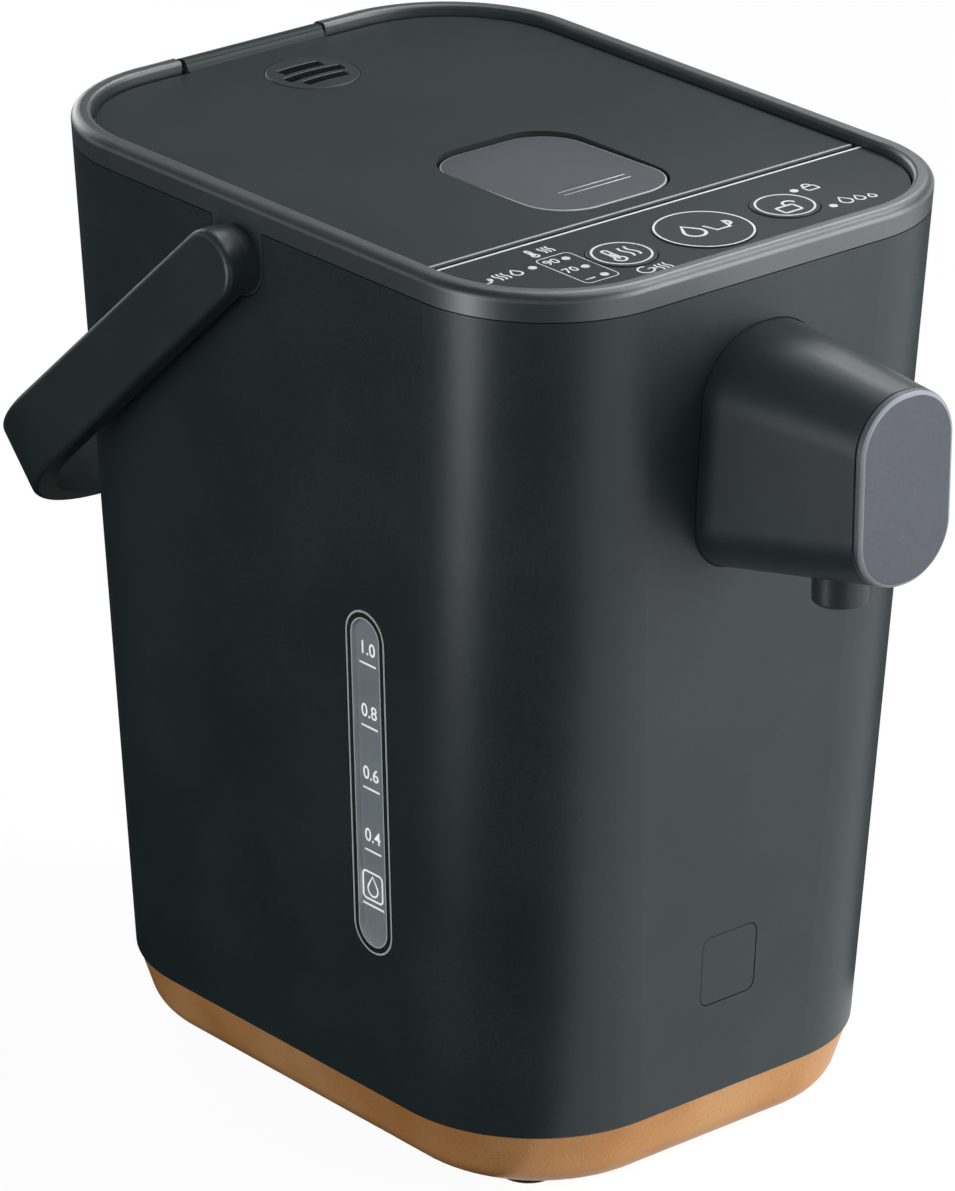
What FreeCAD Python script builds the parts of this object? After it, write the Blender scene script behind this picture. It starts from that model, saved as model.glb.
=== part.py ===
import FreeCAD, Part
import math
import os

# Electric thermo pot: a tapered body on a coloured base band, a lid hinged at the rear with a
# press lever, a control panel with three keys, a spout at the front and a swinging carry handle.
# Millimetres. The origin is on the table under the middle of the body. +Z is up, the spout
# points to -Y, and the water gauge is on the -X side.

Vector = FreeCAD.Vector
X_AXIS = Vector(1, 0, 0)
Y_AXIS = Vector(0, 1, 0)
Z_AXIS = Vector(0, 0, 1)

# Overall size and taper of the body
TOTAL_HEIGHT = 248.0
WIDTH_TOP = 153.0
DEPTH_TOP = 201.4
SIDE_DRAFT = 0.036
FRONT_DRAFT = 0.045
BACK_DRAFT = 0.044
FRONT_CORNER = 37.9
BACK_CORNER = 40.7
CORNER_GROWTH = 0.012

# Levels and walls of the casing
RIM_HEIGHT = 7.1
BASE_HEIGHT = 18.0
SHELL_WALL = 2.0
SEAM_GAP = 0.3
RIM_WIDTH = 5.2
RIM_ROUND = 2.3
RIM_INNER_ROUND = 1.1
PLATE_SUNK = 2.6
PLATE_THICK = 2.4
LEDGE_WIDTH = 3.0
SKIRT_DEPTH = 9.4
SKIRT_WALL = 2.2
FIT = 0.25
RUNNING = 0.05

# Base band, bottom plate and feet
BASE_STEP = 0.5
BASE_TAPER = 3.0
BASE_SIDE_TAPER = 1.8
BASE_BOTTOM_Z = 1.2
BASE_ROUND = 9.0
BASE_WALL = 2.4
BASE_LIP = 6.0
BOTTOM_BORDER = 16.6
BOTTOM_FLANGE = 2.6
BOTTOM_THICK = 2.0
FOOT_X = 43.4
FOOT_FRONT_Y = -66.0
FOOT_BACK_Y = 66.0
FOOT_R = 7.6
FOOT_SEAT = 2.6
SCREW_R = 1.6
SCREW_HEAD_R = 3.2

# Split between lid and control panel
SPLIT_Y = -56.3
SPLIT_GAP = 0.9
PARTITION_WALL = 1.8

# Water tank and its mouth
TANK_Y = 20.0
TANK_R = 60.5
TANK_WALL = 0.8
TANK_BOTTOM_Z = 50.2
TANK_DROP = 46.0
TANK_CORNER = 10.0
NECK_R = 54.0
NECK_HEIGHT = 4.0
FLANGE_R = 61.0
THROAT_R = 62.0
MOUTH_R = 53.0
SEAT_DROP = 36.0
DECK_DROP = 26.0
DECK_THICK = 2.0
SEAL_THICK = 1.6
INSULATION_THICK = 4.5

# Lid and its hinge
LID_GAP = 0.8
LID_BACK_CORNER = 33.4
HINGE_INSET = 3.3
HINGE_R = 3.3
HINGE_PIN_R = 1.2
HINGE_PIN_LENGTH = 66.0
HINGE_CLEAR = 4.1
BAR_WIDTH = 45.2
BAR_GAP = 1.2
LID_BODY_MARGIN = 4.0
LID_BODY_FRONT = 7.8
LID_BODY_BACK = 4.0
LID_WALL = 2.0
LID_FLOOR_DROP = 25.2
LID_POST_R = 3.2
LID_POST_DROP = 21.0
PLUG_R = 56.5
PLUG_DEPTH = 5.8
INNER_LID_R = 53.3
GASKET_R = 57.0
GASKET_HEIGHT = 4.7

# Steam vent
VENT_X = 1.0
VENT_Y = 72.9
VENT_R = 12.3
VENT_SLOT = 2.0
DUCT_R = 10.8
DUCT_WALL = 1.5
STEAM_HOLE_Y = 44.0

# Lid lever and latch
LEVER_WIDTH = 42.8
LEVER_FRONT_Y = -48.4
LEVER_BACK_Y = 4.8
LEVER_CORNER = 13.2
LEVER_THICK = 2.4
LEVER_GAP = 0.7
LEVER_SLOPE = 1.3
LEVER_TRAVEL = 9.0
LEVER_CLEAR = 0.8
LEVER_PIVOT_Y = -18.0
LEVER_PIVOT_DROP = 5.0
LEVER_PIN_R = 1.5
LEVER_EAR = 3.0
LEVER_ARM = 14.6
LEVER_ARM_THICK = 3.0
LEVER_HUB_R = 3.2
LATCH_WIDTH = 18.0
LATCH_THICK = 4.0
LATCH_DROP = 18.4
LATCH_REACH = 5.2
LATCH_LENGTH = 24.0
LATCH_TRAVEL = 2.0
LATCH_OVERLAP = 1.0

# Control panel, keys and lights
KEY_Y = -77.2
KEY_SPACING = 26.6
BIG_KEY_R = 12.6
SMALL_KEY_R = 8.7
KEY_GAP = 0.3
KEY_EDGE = 0.3
KEY_PROUD = 0.35
KEY_TRAVEL = 1.0
KEY_FLANGE = 0.9
KEY_STEM_R = 2.0
LIGHT_R = 1.1
LIGHT_COLLAR = 0.4
LIGHT_PLACES = ((-49.0, -70.5), (-38.6, -70.7), (-38.6, -77.7), (-38.6, -84.6), (35.8, -70.6), (36.0, -84.5))
BOARD_DROP = 16.0
BOARD_THICK = 1.6
SWITCH_SIZE = 6.2
SWITCH_HEIGHT = 4.3

# Handle
PIVOT_Y = 7.9
PIVOT_DROP = 16.2
EAR_WIDTH = 19.2
BOSS_R = 9.0
BOSS_LENGTH = 4.1
HANDLE_ANGLE = 42.4
HANDLE_REACH = 137.2
HANDLE_OUT = 9.8
HANDLE_THICK = 6.1
HANDLE_WIDTH = 18.7
HANDLE_GRIP_WIDTH = 20.4
HANDLE_CORNER = 43.7
HANDLE_EDGE = 1.6
HANDLE_PIN_R = 4.0
HANDLE_PIN_HEAD = 6.5
HANDLE_PIN_HEAD_THICK = 1.7
HANDLE_PIN_SUNK = 3.0

# Spout
SPOUT_ROOT_Y = -98.5
SPOUT_END_Y = -147.5
SPOUT_ROOT = (19.5, 228.8, 166.3, 18.0, 13.5)
SPOUT_END = (15.2, 225.4, 175.6, 14.0, 14.4)
SPOUT_WALL = 2.2
SPOUT_LIP = 1.6
SPOUT_EDGE = 0.5
SPOUT_FLANGE = 4.0
SPOUT_FLANGE_BACK = 8.0
FACE_PROUD = 2.4
FACE_ROUND = 1.3
FACE_SPIGOT = 4.0
FACE_GROOVE = 0.5
NOZZLE_Y = -128.5
NOZZLE_R = 7.2
NOZZLE_BORE = 4.0
NOZZLE_TIP_Z = 165.3
NOZZLE_TOP_Z = 186.0
PIPE_R = 5.0
PIPE_BORE = 3.6
PIPE_Z = 207.0
PIPE_BEND = 10.0
PIPE_START_Y = -78.0
DELIVERY_Y = -54.0

# Water gauge and badge
GAUGE_Y = -36.8
GAUGE_BOTTOM_Z = 57.9
GAUGE_TOP_Z = 152.0
GAUGE_WIDTH = 14.8
GAUGE_BORDER = 2.3
GAUGE_SUNK = 1.2
GAUGE_DEPTH = 4.2
GAUGE_PANE = 2.0
TROUGH_WIDTH = 14.8
TROUGH_LENGTH = 92.0
TROUGH_DEPTH = 20.7
TROUGH_WALL = 1.2
TUBE_INSET = 10.7
TUBE_R = 4.2
TUBE_BORE = 3.0
TUBE_BOTTOM_Z = 50.0
TUBE_TOP_Z = 186.0
BADGE_Z = 54.0
BADGE_WIDTH = 17.9
BADGE_HEIGHT = 18.9
BADGE_CORNER = 2.6
BADGE_THICK = 1.0

# Pump, heater and boards in the base
PUMP_Y = -61.0
PUMP_R = 17.5
PUMP_WALL = 2.4
PUMP_Z = 30.0
PUMP_HEIGHT = 14.0
PUMP_LEG_R = 3.2
PUMP_LEG_OUT = 13.5
IMPELLER_R = 13.0
IMPELLER_VANES = 6
IMPELLER_GAP = 0.8
SHAFT_R = 1.5
MOTOR_R = 13.0
MOTOR_HEIGHT = 27.0
SPIGOT_R = 4.4
SPIGOT_BORE = 3.0
HOSE_WALL = 1.6
HOSE_BEND = 9.0
HOSE_LOW_Z = 14.0
OUTLET_Y = -15.0
STAND_R = 49.5
STAND_WALL = 3.5
HEATER_R = 44.0
HEATER_THICK = 3.6
POWER_BOARD_X = (23.0, 50.0)
POWER_BOARD_Y = (-70.0, -43.0)
POWER_BOARD_Z = 26.0

# Mains inlet at the rear
INLET_WIDTH = 38.0
INLET_HEIGHT = 20.0
INLET_Z = 36.0
INLET_DEPTH = 17.0
INLET_RECESS = 9.0
INLET_WALL = 3.0
INLET_PIN_R = 1.6
INLET_PIN_LENGTH = 6.0
INLET_PIN_SPACING = 14.0
INLET_PIN_CLEAR = 0.25

RIM_SEAM_Z = TOTAL_HEIGHT - RIM_HEIGHT
PLATE_Z = TOTAL_HEIGHT - PLATE_SUNK
PLATE_UNDER_Z = PLATE_Z - PLATE_THICK
BOTTOM_Z = BASE_BOTTOM_Z + BASE_WALL + 0.05
FLOOR_Z = BOTTOM_Z + BOTTOM_THICK
TANK_TOP_Z = TOTAL_HEIGHT - TANK_DROP
SEAT_Z = TOTAL_HEIGHT - SEAT_DROP
DECK_Z = TOTAL_HEIGHT - DECK_DROP
LID_FLOOR_Z = TOTAL_HEIGHT - LID_FLOOR_DROP
LID_POST_Z = TOTAL_HEIGHT - LID_POST_DROP
LATCH_TOP_Z = TOTAL_HEIGHT - LATCH_DROP
BOARD_Z = TOTAL_HEIGHT - BOARD_DROP
PIVOT_Z = TOTAL_HEIGHT - PIVOT_DROP
HANDLE_HALF = WIDTH_TOP / 2 + HANDLE_OUT
TUBE_X = TUBE_INSET + SIDE_DRAFT * (TOTAL_HEIGHT - GAUGE_BOTTOM_Z) - WIDTH_TOP / 2
HINGE_Y = DEPTH_TOP / 2 - HINGE_INSET
HINGE_Z = TOTAL_HEIGHT - HINGE_R - 0.1
LEVER_PIVOT_Z = PLATE_Z - LEVER_PIVOT_DROP


def box(x0, x1, y0, y1, z0, z1):
    """Block between two corners."""
    return Part.makeBox(x1 - x0, y1 - y0, z1 - z0, Vector(x0, y0, z0))


def rod(radius, start, end):
    """Round bar from one point to another."""
    direction = end - start
    return Part.makeCylinder(radius, direction.Length, start, direction)


def post(x, y, radius, z0, z1):
    """Upright round bar."""
    return rod(radius, Vector(x, y, z0), Vector(x, y, z1))


def ring(x, y, outer, inner, z0, z1):
    """Upright sleeve."""
    return post(x, y, outer, z0, z1).cut(post(x, y, inner, z0 - 1, z1 + 1))


def cross_rod(radius, x0, x1, y, z):
    """Round bar along X."""
    return rod(radius, Vector(x0, y, z), Vector(x1, y, z))


def outline(half_width, y_front, y_back, r_front, r_back, z):
    """Closed wire of a rectangle with rounded corners, at one level."""
    w = half_width
    quarter = math.sqrt(0.5)
    corners = (
        (w - r_front, y_front + r_front, r_front, -45),
        (w - r_back, y_back - r_back, r_back, 45),
        (-w + r_back, y_back - r_back, r_back, 135),
        (-w + r_front, y_front + r_front, r_front, 225),
    )
    arcs = []
    for cx, cy, r, middle in corners:
        points = []
        for angle in (middle - 45, middle, middle + 45):
            turn = math.radians(angle)
            points.append(Vector(cx + r * math.cos(turn), cy + r * math.sin(turn), z))
        arcs.append(points)
    edges = []
    for index, points in enumerate(arcs):
        edges.append(Part.Arc(*points).toShape())
        following = arcs[(index + 1) % 4]
        edges.append(Part.LineSegment(points[2], following[0]).toShape())
    return Part.Wire(edges)


def slab(wire, height):
    """Closed wire pushed up or down into a plate."""
    return Part.Face(wire).extrude(Vector(0, 0, height))


def half_width_at(z, inset=0.0):
    return WIDTH_TOP / 2 - SIDE_DRAFT * (TOTAL_HEIGHT - z) - inset


def front_at(z, inset=0.0):
    return -DEPTH_TOP / 2 + FRONT_DRAFT * (TOTAL_HEIGHT - z) + inset


def back_at(z, inset=0.0):
    return DEPTH_TOP / 2 - BACK_DRAFT * (TOTAL_HEIGHT - z) - inset


def body_outline(z, inset, side=0.0):
    """The body's outline at a level, moved in by inset all round and by side at left and right."""
    growth = CORNER_GROWTH * (TOTAL_HEIGHT - z)
    return outline(
        half_width_at(z, inset + side),
        front_at(z, inset),
        back_at(z, inset),
        FRONT_CORNER + growth - inset,
        BACK_CORNER + growth - inset,
        z,
    )


def body_block(z0, inset0, z1, inset1, side0=0.0):
    """Solid of the body's outline between two levels."""
    return Part.makeLoft([body_outline(z0, inset0, side0), body_outline(z1, inset1)], True, True)


def body_band(z0, z1, outer, inner):
    """Wall that follows the body between two levels and two insets."""
    reach = 1.0
    return body_block(z0, outer, z1, outer).cut(body_block(z0 - reach, inner, z1 + reach, inner))


def edges_at(shape, z, least=0.5):
    """Edges that lie in one level."""
    found = []
    for edge in shape.Edges:
        bounds = edge.BoundBox
        if abs(bounds.ZMin - z) < 0.01 and abs(bounds.ZMax - z) < 0.01 and edge.Length > least:
            found.append(edge)
    return found


def on_front_wall(shape, z):
    """Place a shape drawn about the origin, facing -Y, on the sloping front wall."""
    shape.rotate(Vector(0, 0, 0), X_AXIS, math.degrees(math.atan(FRONT_DRAFT)))
    shape.translate(Vector(0, front_at(z), z))
    return shape


def on_left_wall(shape, y, z):
    """Place a shape drawn about the origin, facing -X, on the sloping left wall."""
    shape.rotate(Vector(0, 0, 0), Y_AXIS, -math.degrees(math.atan(SIDE_DRAFT)))
    shape.translate(Vector(-half_width_at(z), y, z))
    return shape


def stadium(width, length, x0, x1):
    """Upright bar with round ends, drawn in the YZ plane about the origin, from x0 to x1."""
    r = width / 2
    straight = length / 2 - r
    body = box(x0, x1, -r, r, -straight, straight)
    for end in (-straight, straight):
        body = body.fuse(cross_rod(r, x0, x1, 0, end))
    return body.removeSplitter()


def tube(points, radius, bore, bend):
    """Hose through points, with straight runs joined by tangent arcs; a bore of 0 is solid."""
    edges = []
    start = points[0]
    for before, corner, after in zip(points, points[1:], points[2:]):
        incoming = (corner - before).normalize()
        outgoing = (after - corner).normalize()
        half = incoming.getAngle(outgoing) / 2
        setback = bend * math.tan(half)
        first = corner - incoming * setback
        last = corner + outgoing * setback
        inward = (outgoing - incoming).normalize()
        middle = corner + inward * (bend / math.cos(half) - bend)
        edges.append(Part.LineSegment(start, first).toShape())
        edges.append(Part.Arc(first, middle, last).toShape())
        start = last
    edges.append(Part.LineSegment(start, points[-1]).toShape())
    path = Part.Wire(edges)
    direction = points[1] - points[0]
    solids = []
    for r in (radius, bore):
        if r > 0:
            profile = Part.Wire(Part.makeCircle(r, points[0], direction))
            solids.append(path.makePipeShell([profile], True, False))
    if len(solids) == 1:
        return solids[0]
    return solids[0].cut(solids[1])


def spout_sizes(y):
    """Half width, top, bottom and the two corner radii of the spout at a distance out."""
    share = (SPOUT_ROOT_Y - y) / (SPOUT_ROOT_Y - SPOUT_END_Y)
    return [a + (b - a) * share for a, b in zip(SPOUT_ROOT, SPOUT_END)]


def spout_outline(y, inset):
    """Closed wire of the spout's cross-section, moved in by inset."""
    w, top, bottom, r_top, r_bottom = spout_sizes(y)
    wire = outline(w - inset, bottom + inset, top - inset, r_bottom - inset, r_top - inset, 0)
    wire.rotate(Vector(0, 0, 0), X_AXIS, 90)
    wire.translate(Vector(0, y, 0))
    return wire


def spout_block(y0, inset0, y1, inset1):
    return Part.makeLoft([spout_outline(y0, inset0), spout_outline(y1, inset1)], True, True)


# Casing

def outer_shell():
    """Painted sleeve, open at both ends, with openings for what shows through it."""
    shell = body_band(BASE_HEIGHT + SEAM_GAP, RIM_SEAM_Z - SEAM_GAP, 0, SHELL_WALL)
    notch_r = EAR_WIDTH / 2 + FIT
    reach = WIDTH_TOP
    notch = cross_rod(notch_r, -reach, reach, PIVOT_Y, PIVOT_Z)
    notch = notch.fuse(box(-reach, reach, PIVOT_Y - notch_r, PIVOT_Y + notch_r, PIVOT_Z, TOTAL_HEIGHT))
    shell = shell.cut(notch)
    gauge_z = (GAUGE_BOTTOM_Z + GAUGE_TOP_Z) / 2
    slot = stadium(GAUGE_WIDTH + 2 * FIT, GAUGE_TOP_Z - GAUGE_BOTTOM_Z + 2 * FIT, -5, 10)
    shell = shell.cut(on_left_wall(slot, GAUGE_Y, gauge_z))
    shell = shell.cut(spout_block(SPOUT_ROOT_Y + 12, -FIT, SPOUT_END_Y, -FIT))
    shell = shell.cut(badge_block(FIT, BADGE_THICK + 0.15, 2.0))
    inlet_gap = FIT
    shell = shell.cut(
        box(
            -INLET_WIDTH / 2 - inlet_gap,
            INLET_WIDTH / 2 + inlet_gap,
            0,
            DEPTH_TOP,
            INLET_Z - INLET_HEIGHT / 2 - inlet_gap,
            INLET_Z + INLET_HEIGHT / 2 + inlet_gap,
        )
    )
    return shell


def base_ring():
    """Coloured band that tapers in to the feet, with a lip that the sleeve stands over."""
    top_z = BASE_HEIGHT
    outer = body_block(BASE_BOTTOM_Z, BASE_STEP + BASE_TAPER, top_z, BASE_STEP, BASE_SIDE_TAPER)
    outer = outer.makeFillet(BASE_ROUND, edges_at(outer, BASE_BOTTOM_Z))
    lip_outer = SHELL_WALL + FIT
    lip = body_block(top_z, lip_outer, top_z + BASE_LIP, lip_outer)
    inner_z = BASE_BOTTOM_Z + BASE_WALL
    hollow = body_block(
        inner_z, BASE_STEP + BASE_TAPER + BASE_WALL, top_z, lip_outer + SKIRT_WALL, BASE_SIDE_TAPER
    )
    hollow = hollow.makeFillet(BASE_ROUND - BASE_WALL, edges_at(hollow, inner_z))
    hollow = hollow.fuse(body_block(top_z, lip_outer + SKIRT_WALL, top_z + BASE_LIP + 1, lip_outer + SKIRT_WALL))
    opening = slab(body_outline(BOTTOM_Z, BOTTOM_BORDER), -BOTTOM_Z)
    band = outer.fuse(lip).cut(hollow).cut(opening)
    for x, y in foot_places():
        band = band.cut(post(x, y, FOOT_R + 0.1, 0, FOOT_SEAT))
    return band


def screw_places():
    """Corner places of the screws in the bottom plate."""
    return [(sx * 30.0, y) for sx in (-1, 1) for y in (FOOT_FRONT_Y + 16, FOOT_BACK_Y - 16)]


def foot_places():
    return [(sx * FOOT_X, y) for sx in (-1, 1) for y in (FOOT_FRONT_Y, FOOT_BACK_Y)]


def bottom_plate():
    """Flat cover under the pot, resting inside the base band."""
    z0 = BOTTOM_Z
    plate = slab(body_outline(z0, BOTTOM_BORDER - BOTTOM_FLANGE), BOTTOM_THICK)
    plate = plate.fuse(slab(body_outline(z0, BOTTOM_BORDER + FIT), BASE_BOTTOM_Z + 0.6 - z0))
    for x, y in screw_places():
        plate = plate.cut(post(x, y, SCREW_R + RUNNING, 0, z0 + BOTTOM_THICK + 1))
        plate = plate.cut(post(x, y, SCREW_HEAD_R + FIT, 0, z0))
    for x, y in foot_places():
        plate = plate.cut(post(x, y, FOOT_R + 0.1, 0, FOOT_SEAT))
    for row in range(-2, 3):
        plate = plate.cut(box(-12, 12, row * 7 - 1.5, row * 7 + 1.5, 0, z0 + BOTTOM_THICK + 1))
    return plate


def rubber_feet():
    """Four rubber feet pressed into the bottom."""
    return Part.makeCompound([foot(x, y) for x, y in foot_places()])


def foot(x, y):
    body = post(x, y, FOOT_R, 0, FOOT_SEAT - 0.05)
    return body.makeFillet(0.6, edges_at(body, 0))


def bottom_screws():
    z0 = BOTTOM_Z
    screws = []
    for x, y in screw_places():
        head = post(x, y, SCREW_HEAD_R, z0 - 1.8, z0 - 0.05)
        head = head.cut(box(x - 2.2, x + 2.2, y - 0.4, y + 0.4, z0 - 3, z0 - 1.1))
        head = head.cut(box(x - 0.4, x + 0.4, y - 2.2, y + 2.2, z0 - 3, z0 - 1.1))
        screws.append(head.fuse(post(x, y, SCREW_R, z0 - 1, z0 + BOTTOM_THICK + 6)))
    return Part.makeCompound(screws)


def shoulder_ring():
    """Rim round the top, with a ledge for lid and panel, a skirt inside the sleeve, and an ear
    and boss on each side that carry the handle."""
    rim = body_block(RIM_SEAM_Z, 0, TOTAL_HEIGHT, 0)
    rim = rim.makeFillet(RIM_ROUND, edges_at(rim, TOTAL_HEIGHT))
    ledge_z = PLATE_UNDER_Z - 0.1
    rim = rim.cut(body_block(ledge_z, RIM_WIDTH, TOTAL_HEIGHT + 1, RIM_WIDTH))
    rim = rim.makeFillet(RIM_INNER_ROUND, inner_rim_edges(rim))
    rim = rim.cut(body_block(RIM_SEAM_Z - 1, RIM_WIDTH + LEDGE_WIDTH, TOTAL_HEIGHT, RIM_WIDTH + LEDGE_WIDTH))
    skirt_outer = SHELL_WALL + FIT
    skirt_inner = skirt_outer + SKIRT_WALL
    rim = rim.fuse(body_band(RIM_SEAM_Z - SKIRT_DEPTH, RIM_SEAM_Z + 0.5, skirt_outer, skirt_inner))
    reach = WIDTH_TOP
    boss_out = HANDLE_HALF - HANDLE_THICK - FIT
    for side in (-1, 1):
        rim = rim.fuse(ear(side, skirt_inner))
        boss = cross_rod(BOSS_R, side * (boss_out - BOSS_LENGTH - 2), side * boss_out, PIVOT_Y, PIVOT_Z)
        rim = rim.fuse(boss)
    rim = rim.cut(cross_rod(HANDLE_PIN_R + RUNNING, -reach, reach, PIVOT_Y, PIVOT_Z))
    gap_half = BAR_WIDTH / 2 + BAR_GAP
    rim = rim.cut(box(-gap_half, gap_half, HINGE_Y - 15, DEPTH_TOP, RIM_SEAM_Z - 0.6, TOTAL_HEIGHT + 1))
    rim = rim.cut(cross_rod(HINGE_PIN_R, -HINGE_PIN_LENGTH / 2, HINGE_PIN_LENGTH / 2, HINGE_Y, HINGE_Z))
    return rim


def ear(side, inset):
    """Tongue that hangs from the rim round the handle's pivot, flush with the side wall."""
    r = EAR_WIDTH / 2
    z0 = PIVOT_Z - r - 1
    z1 = RIM_SEAM_Z + 0.5
    corners = [
        Vector(side * half_width_at(z0), 0, z0),
        Vector(side * half_width_at(z1), 0, z1),
        Vector(side * half_width_at(z1, inset), 0, z1),
        Vector(side * half_width_at(z0, inset), 0, z0),
    ]
    wall = Part.Face(Part.makePolygon(corners + corners[:1])).extrude(Vector(0, 2 * EAR_WIDTH, 0))
    wall.translate(Vector(0, PIVOT_Y - EAR_WIDTH, 0))
    shape = cross_rod(r, side * (WIDTH_TOP / 2 - 10), side * WIDTH_TOP, PIVOT_Y, PIVOT_Z)
    x0 = min(side * (WIDTH_TOP / 2 - 10), side * WIDTH_TOP)
    x1 = max(side * (WIDTH_TOP / 2 - 10), side * WIDTH_TOP)
    shape = shape.fuse(box(x0, x1, PIVOT_Y - r, PIVOT_Y + r, PIVOT_Z, TOTAL_HEIGHT))
    return wall.common(shape)


def inner_rim_edges(rim):
    """Edges at the top of the rim's inner wall."""
    found = []
    for edge in edges_at(rim, TOTAL_HEIGHT):
        middle = edge.CenterOfMass
        if abs(middle.x) < half_width_at(TOTAL_HEIGHT, RIM_WIDTH) + 0.2:
            if front_at(TOTAL_HEIGHT, RIM_WIDTH) - 0.2 < middle.y < back_at(TOTAL_HEIGHT, RIM_WIDTH) + 0.2:
                point = edge.Vertexes[0].Point
                if abs(point.x) < half_width_at(TOTAL_HEIGHT, RIM_WIDTH) + 0.05:
                    found.append(edge)
    return found


def mouth_ring():
    """Frame inside the rim: the deck that shows when the lid is open, the partition to the
    control panel, the throat and the ledge on which the lid's gasket seats."""
    side_inset = SHELL_WALL + FIT + SKIRT_WALL + FIT
    top_z = RIM_SEAM_Z - 1.0
    front = SPLIT_Y - PARTITION_WALL
    bay = body_block(DECK_Z - DECK_THICK, side_inset, top_z, side_inset)
    bay = bay.cut(box(-WIDTH_TOP, WIDTH_TOP, -DEPTH_TOP, front, 0, TOTAL_HEIGHT))
    inner_front = SPLIT_Y + 0.1
    hollow = body_block(DECK_Z, side_inset + 1.6, top_z + 1, side_inset + 1.6)
    hollow = hollow.cut(box(-WIDTH_TOP, WIDTH_TOP, -DEPTH_TOP, inner_front, 0, TOTAL_HEIGHT))
    frame = bay.cut(hollow)
    frame = frame.fuse(partition_top(front, inner_front, top_z))
    seal_z = TANK_TOP_Z + SEAL_THICK
    frame = frame.fuse(post(0, TANK_Y, THROAT_R + 2.0, SEAT_Z - 2.0, DECK_Z - DECK_THICK / 2))
    frame = frame.fuse(post(0, TANK_Y, MOUTH_R + 3.0, seal_z, SEAT_Z))
    frame = frame.fuse(latch_keeper(inner_front))
    frame = frame.cut(post(0, TANK_Y, THROAT_R, SEAT_Z, TOTAL_HEIGHT))
    frame = frame.cut(post(0, TANK_Y, MOUTH_R, seal_z - 1, SEAT_Z + 1))
    head_r = HANDLE_PIN_HEAD + 0.8
    return frame.cut(cross_rod(head_r, -WIDTH_TOP, WIDTH_TOP, PIVOT_Y, PIVOT_Z))


def latch_keeper(front):
    """Block on the partition with a notch, open at the top, in which the latch lies."""
    back = front + LATCH_OVERLAP + LID_BODY_FRONT - LATCH_REACH - 0.1
    top_z = LATCH_TOP_Z + 3.0
    notch = LATCH_WIDTH / 2 + 0.4
    block = box(-notch - 5, notch + 5, front - 0.5, back, DECK_Z - 0.5, top_z)
    return block.cut(box(-notch, notch, front, back + 1, DECK_Z, top_z + 1))


def partition_top(front, back, z0):
    """Upper part of the partition, up to the underside of the panel's edge."""
    half = half_width_at(z0, RIM_WIDTH + LEDGE_WIDTH + 1.0)
    return box(-half, half, front, back - 0.1, z0 - 0.5, PLATE_UNDER_Z - 0.1)


# Water tank and heater

def tank_profile(offset):
    """Half section of the tank's outside, moved in by offset, as a closed face in the XZ plane."""
    r = TANK_R - offset
    z0 = TANK_BOTTOM_Z + offset
    corner = TANK_CORNER - offset
    neck = NECK_R - offset
    shoulder_z = TANK_TOP_Z - NECK_HEIGHT - (TANK_R - NECK_R)
    slant = math.sqrt(0.5) * corner
    top = TANK_TOP_Z + (1.0 if offset else 0.0)
    points = [
        Vector(0, 0, z0),
        Vector(r - corner, 0, z0),
        Vector(r - corner + slant, 0, z0 + corner - slant),
        Vector(r, 0, z0 + corner),
        Vector(r, 0, shoulder_z),
        Vector(neck, 0, shoulder_z + TANK_R - NECK_R),
        Vector(neck, 0, top),
        Vector(0, 0, top),
    ]
    edges = [Part.LineSegment(points[0], points[1]).toShape()]
    edges.append(Part.Arc(points[1], points[2], points[3]).toShape())
    for a, b in zip(points[3:], points[4:] + points[:1]):
        edges.append(Part.LineSegment(a, b).toShape())
    return Part.Face(Part.Wire(edges))


def inner_tank():
    """Deep-drawn steel tank with a flanged neck and an outlet spigot in its floor."""
    tank = tank_profile(0).revolve(Vector(0, 0, 0), Z_AXIS, 360)
    hollow = tank_profile(TANK_WALL).revolve(Vector(0, 0, 0), Z_AXIS, 360)
    flange = post(0, 0, FLANGE_R, TANK_TOP_Z - 1.2, TANK_TOP_Z)
    tank = tank.fuse(flange).cut(hollow)
    tank.translate(Vector(0, TANK_Y, 0))
    spigot = post(0, OUTLET_Y, SPIGOT_R, TANK_BOTTOM_Z - 12, TANK_BOTTOM_Z + TANK_WALL / 2)
    bore = post(0, OUTLET_Y, SPIGOT_BORE, TANK_BOTTOM_Z - 13, TANK_BOTTOM_Z + 2)
    return tank.fuse(spigot).cut(bore)


def tank_seal():
    """Flat ring between the tank's flange and the mouth frame."""
    return ring(0, TANK_Y, MOUTH_R + 3.0, MOUTH_R + 0.2, TANK_TOP_Z + 0.02, TANK_TOP_Z + SEAL_THICK - 0.02)


def insulation_sleeve():
    """Felt sleeve round the tank."""
    inner = TANK_R + FIT
    low = TANK_BOTTOM_Z + TANK_CORNER
    high = TANK_TOP_Z - NECK_HEIGHT - (TANK_R - NECK_R) - 2
    return ring(0, TANK_Y, inner + INSULATION_THICK, inner, low, high)


def tank_stand():
    """Ring on the bottom plate that carries the tank, with arches for hoses and wires."""
    z0 = FLOOR_Z + 0.05
    z1 = TANK_BOTTOM_Z - 0.05
    stand = ring(0, TANK_Y, STAND_R, STAND_R - STAND_WALL, z0, z1)
    arch_z = HOSE_LOW_Z + SPIGOT_R + HOSE_WALL + 6
    arch = box(-11, 11, TANK_Y - STAND_R - 5, TANK_Y + STAND_R + 5, z0 - 1, arch_z)
    side_arch = box(-STAND_R - 5, STAND_R + 5, TANK_Y - 11, TANK_Y + 11, z0 - 1, arch_z)
    return stand.cut(arch).cut(side_arch)


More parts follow.
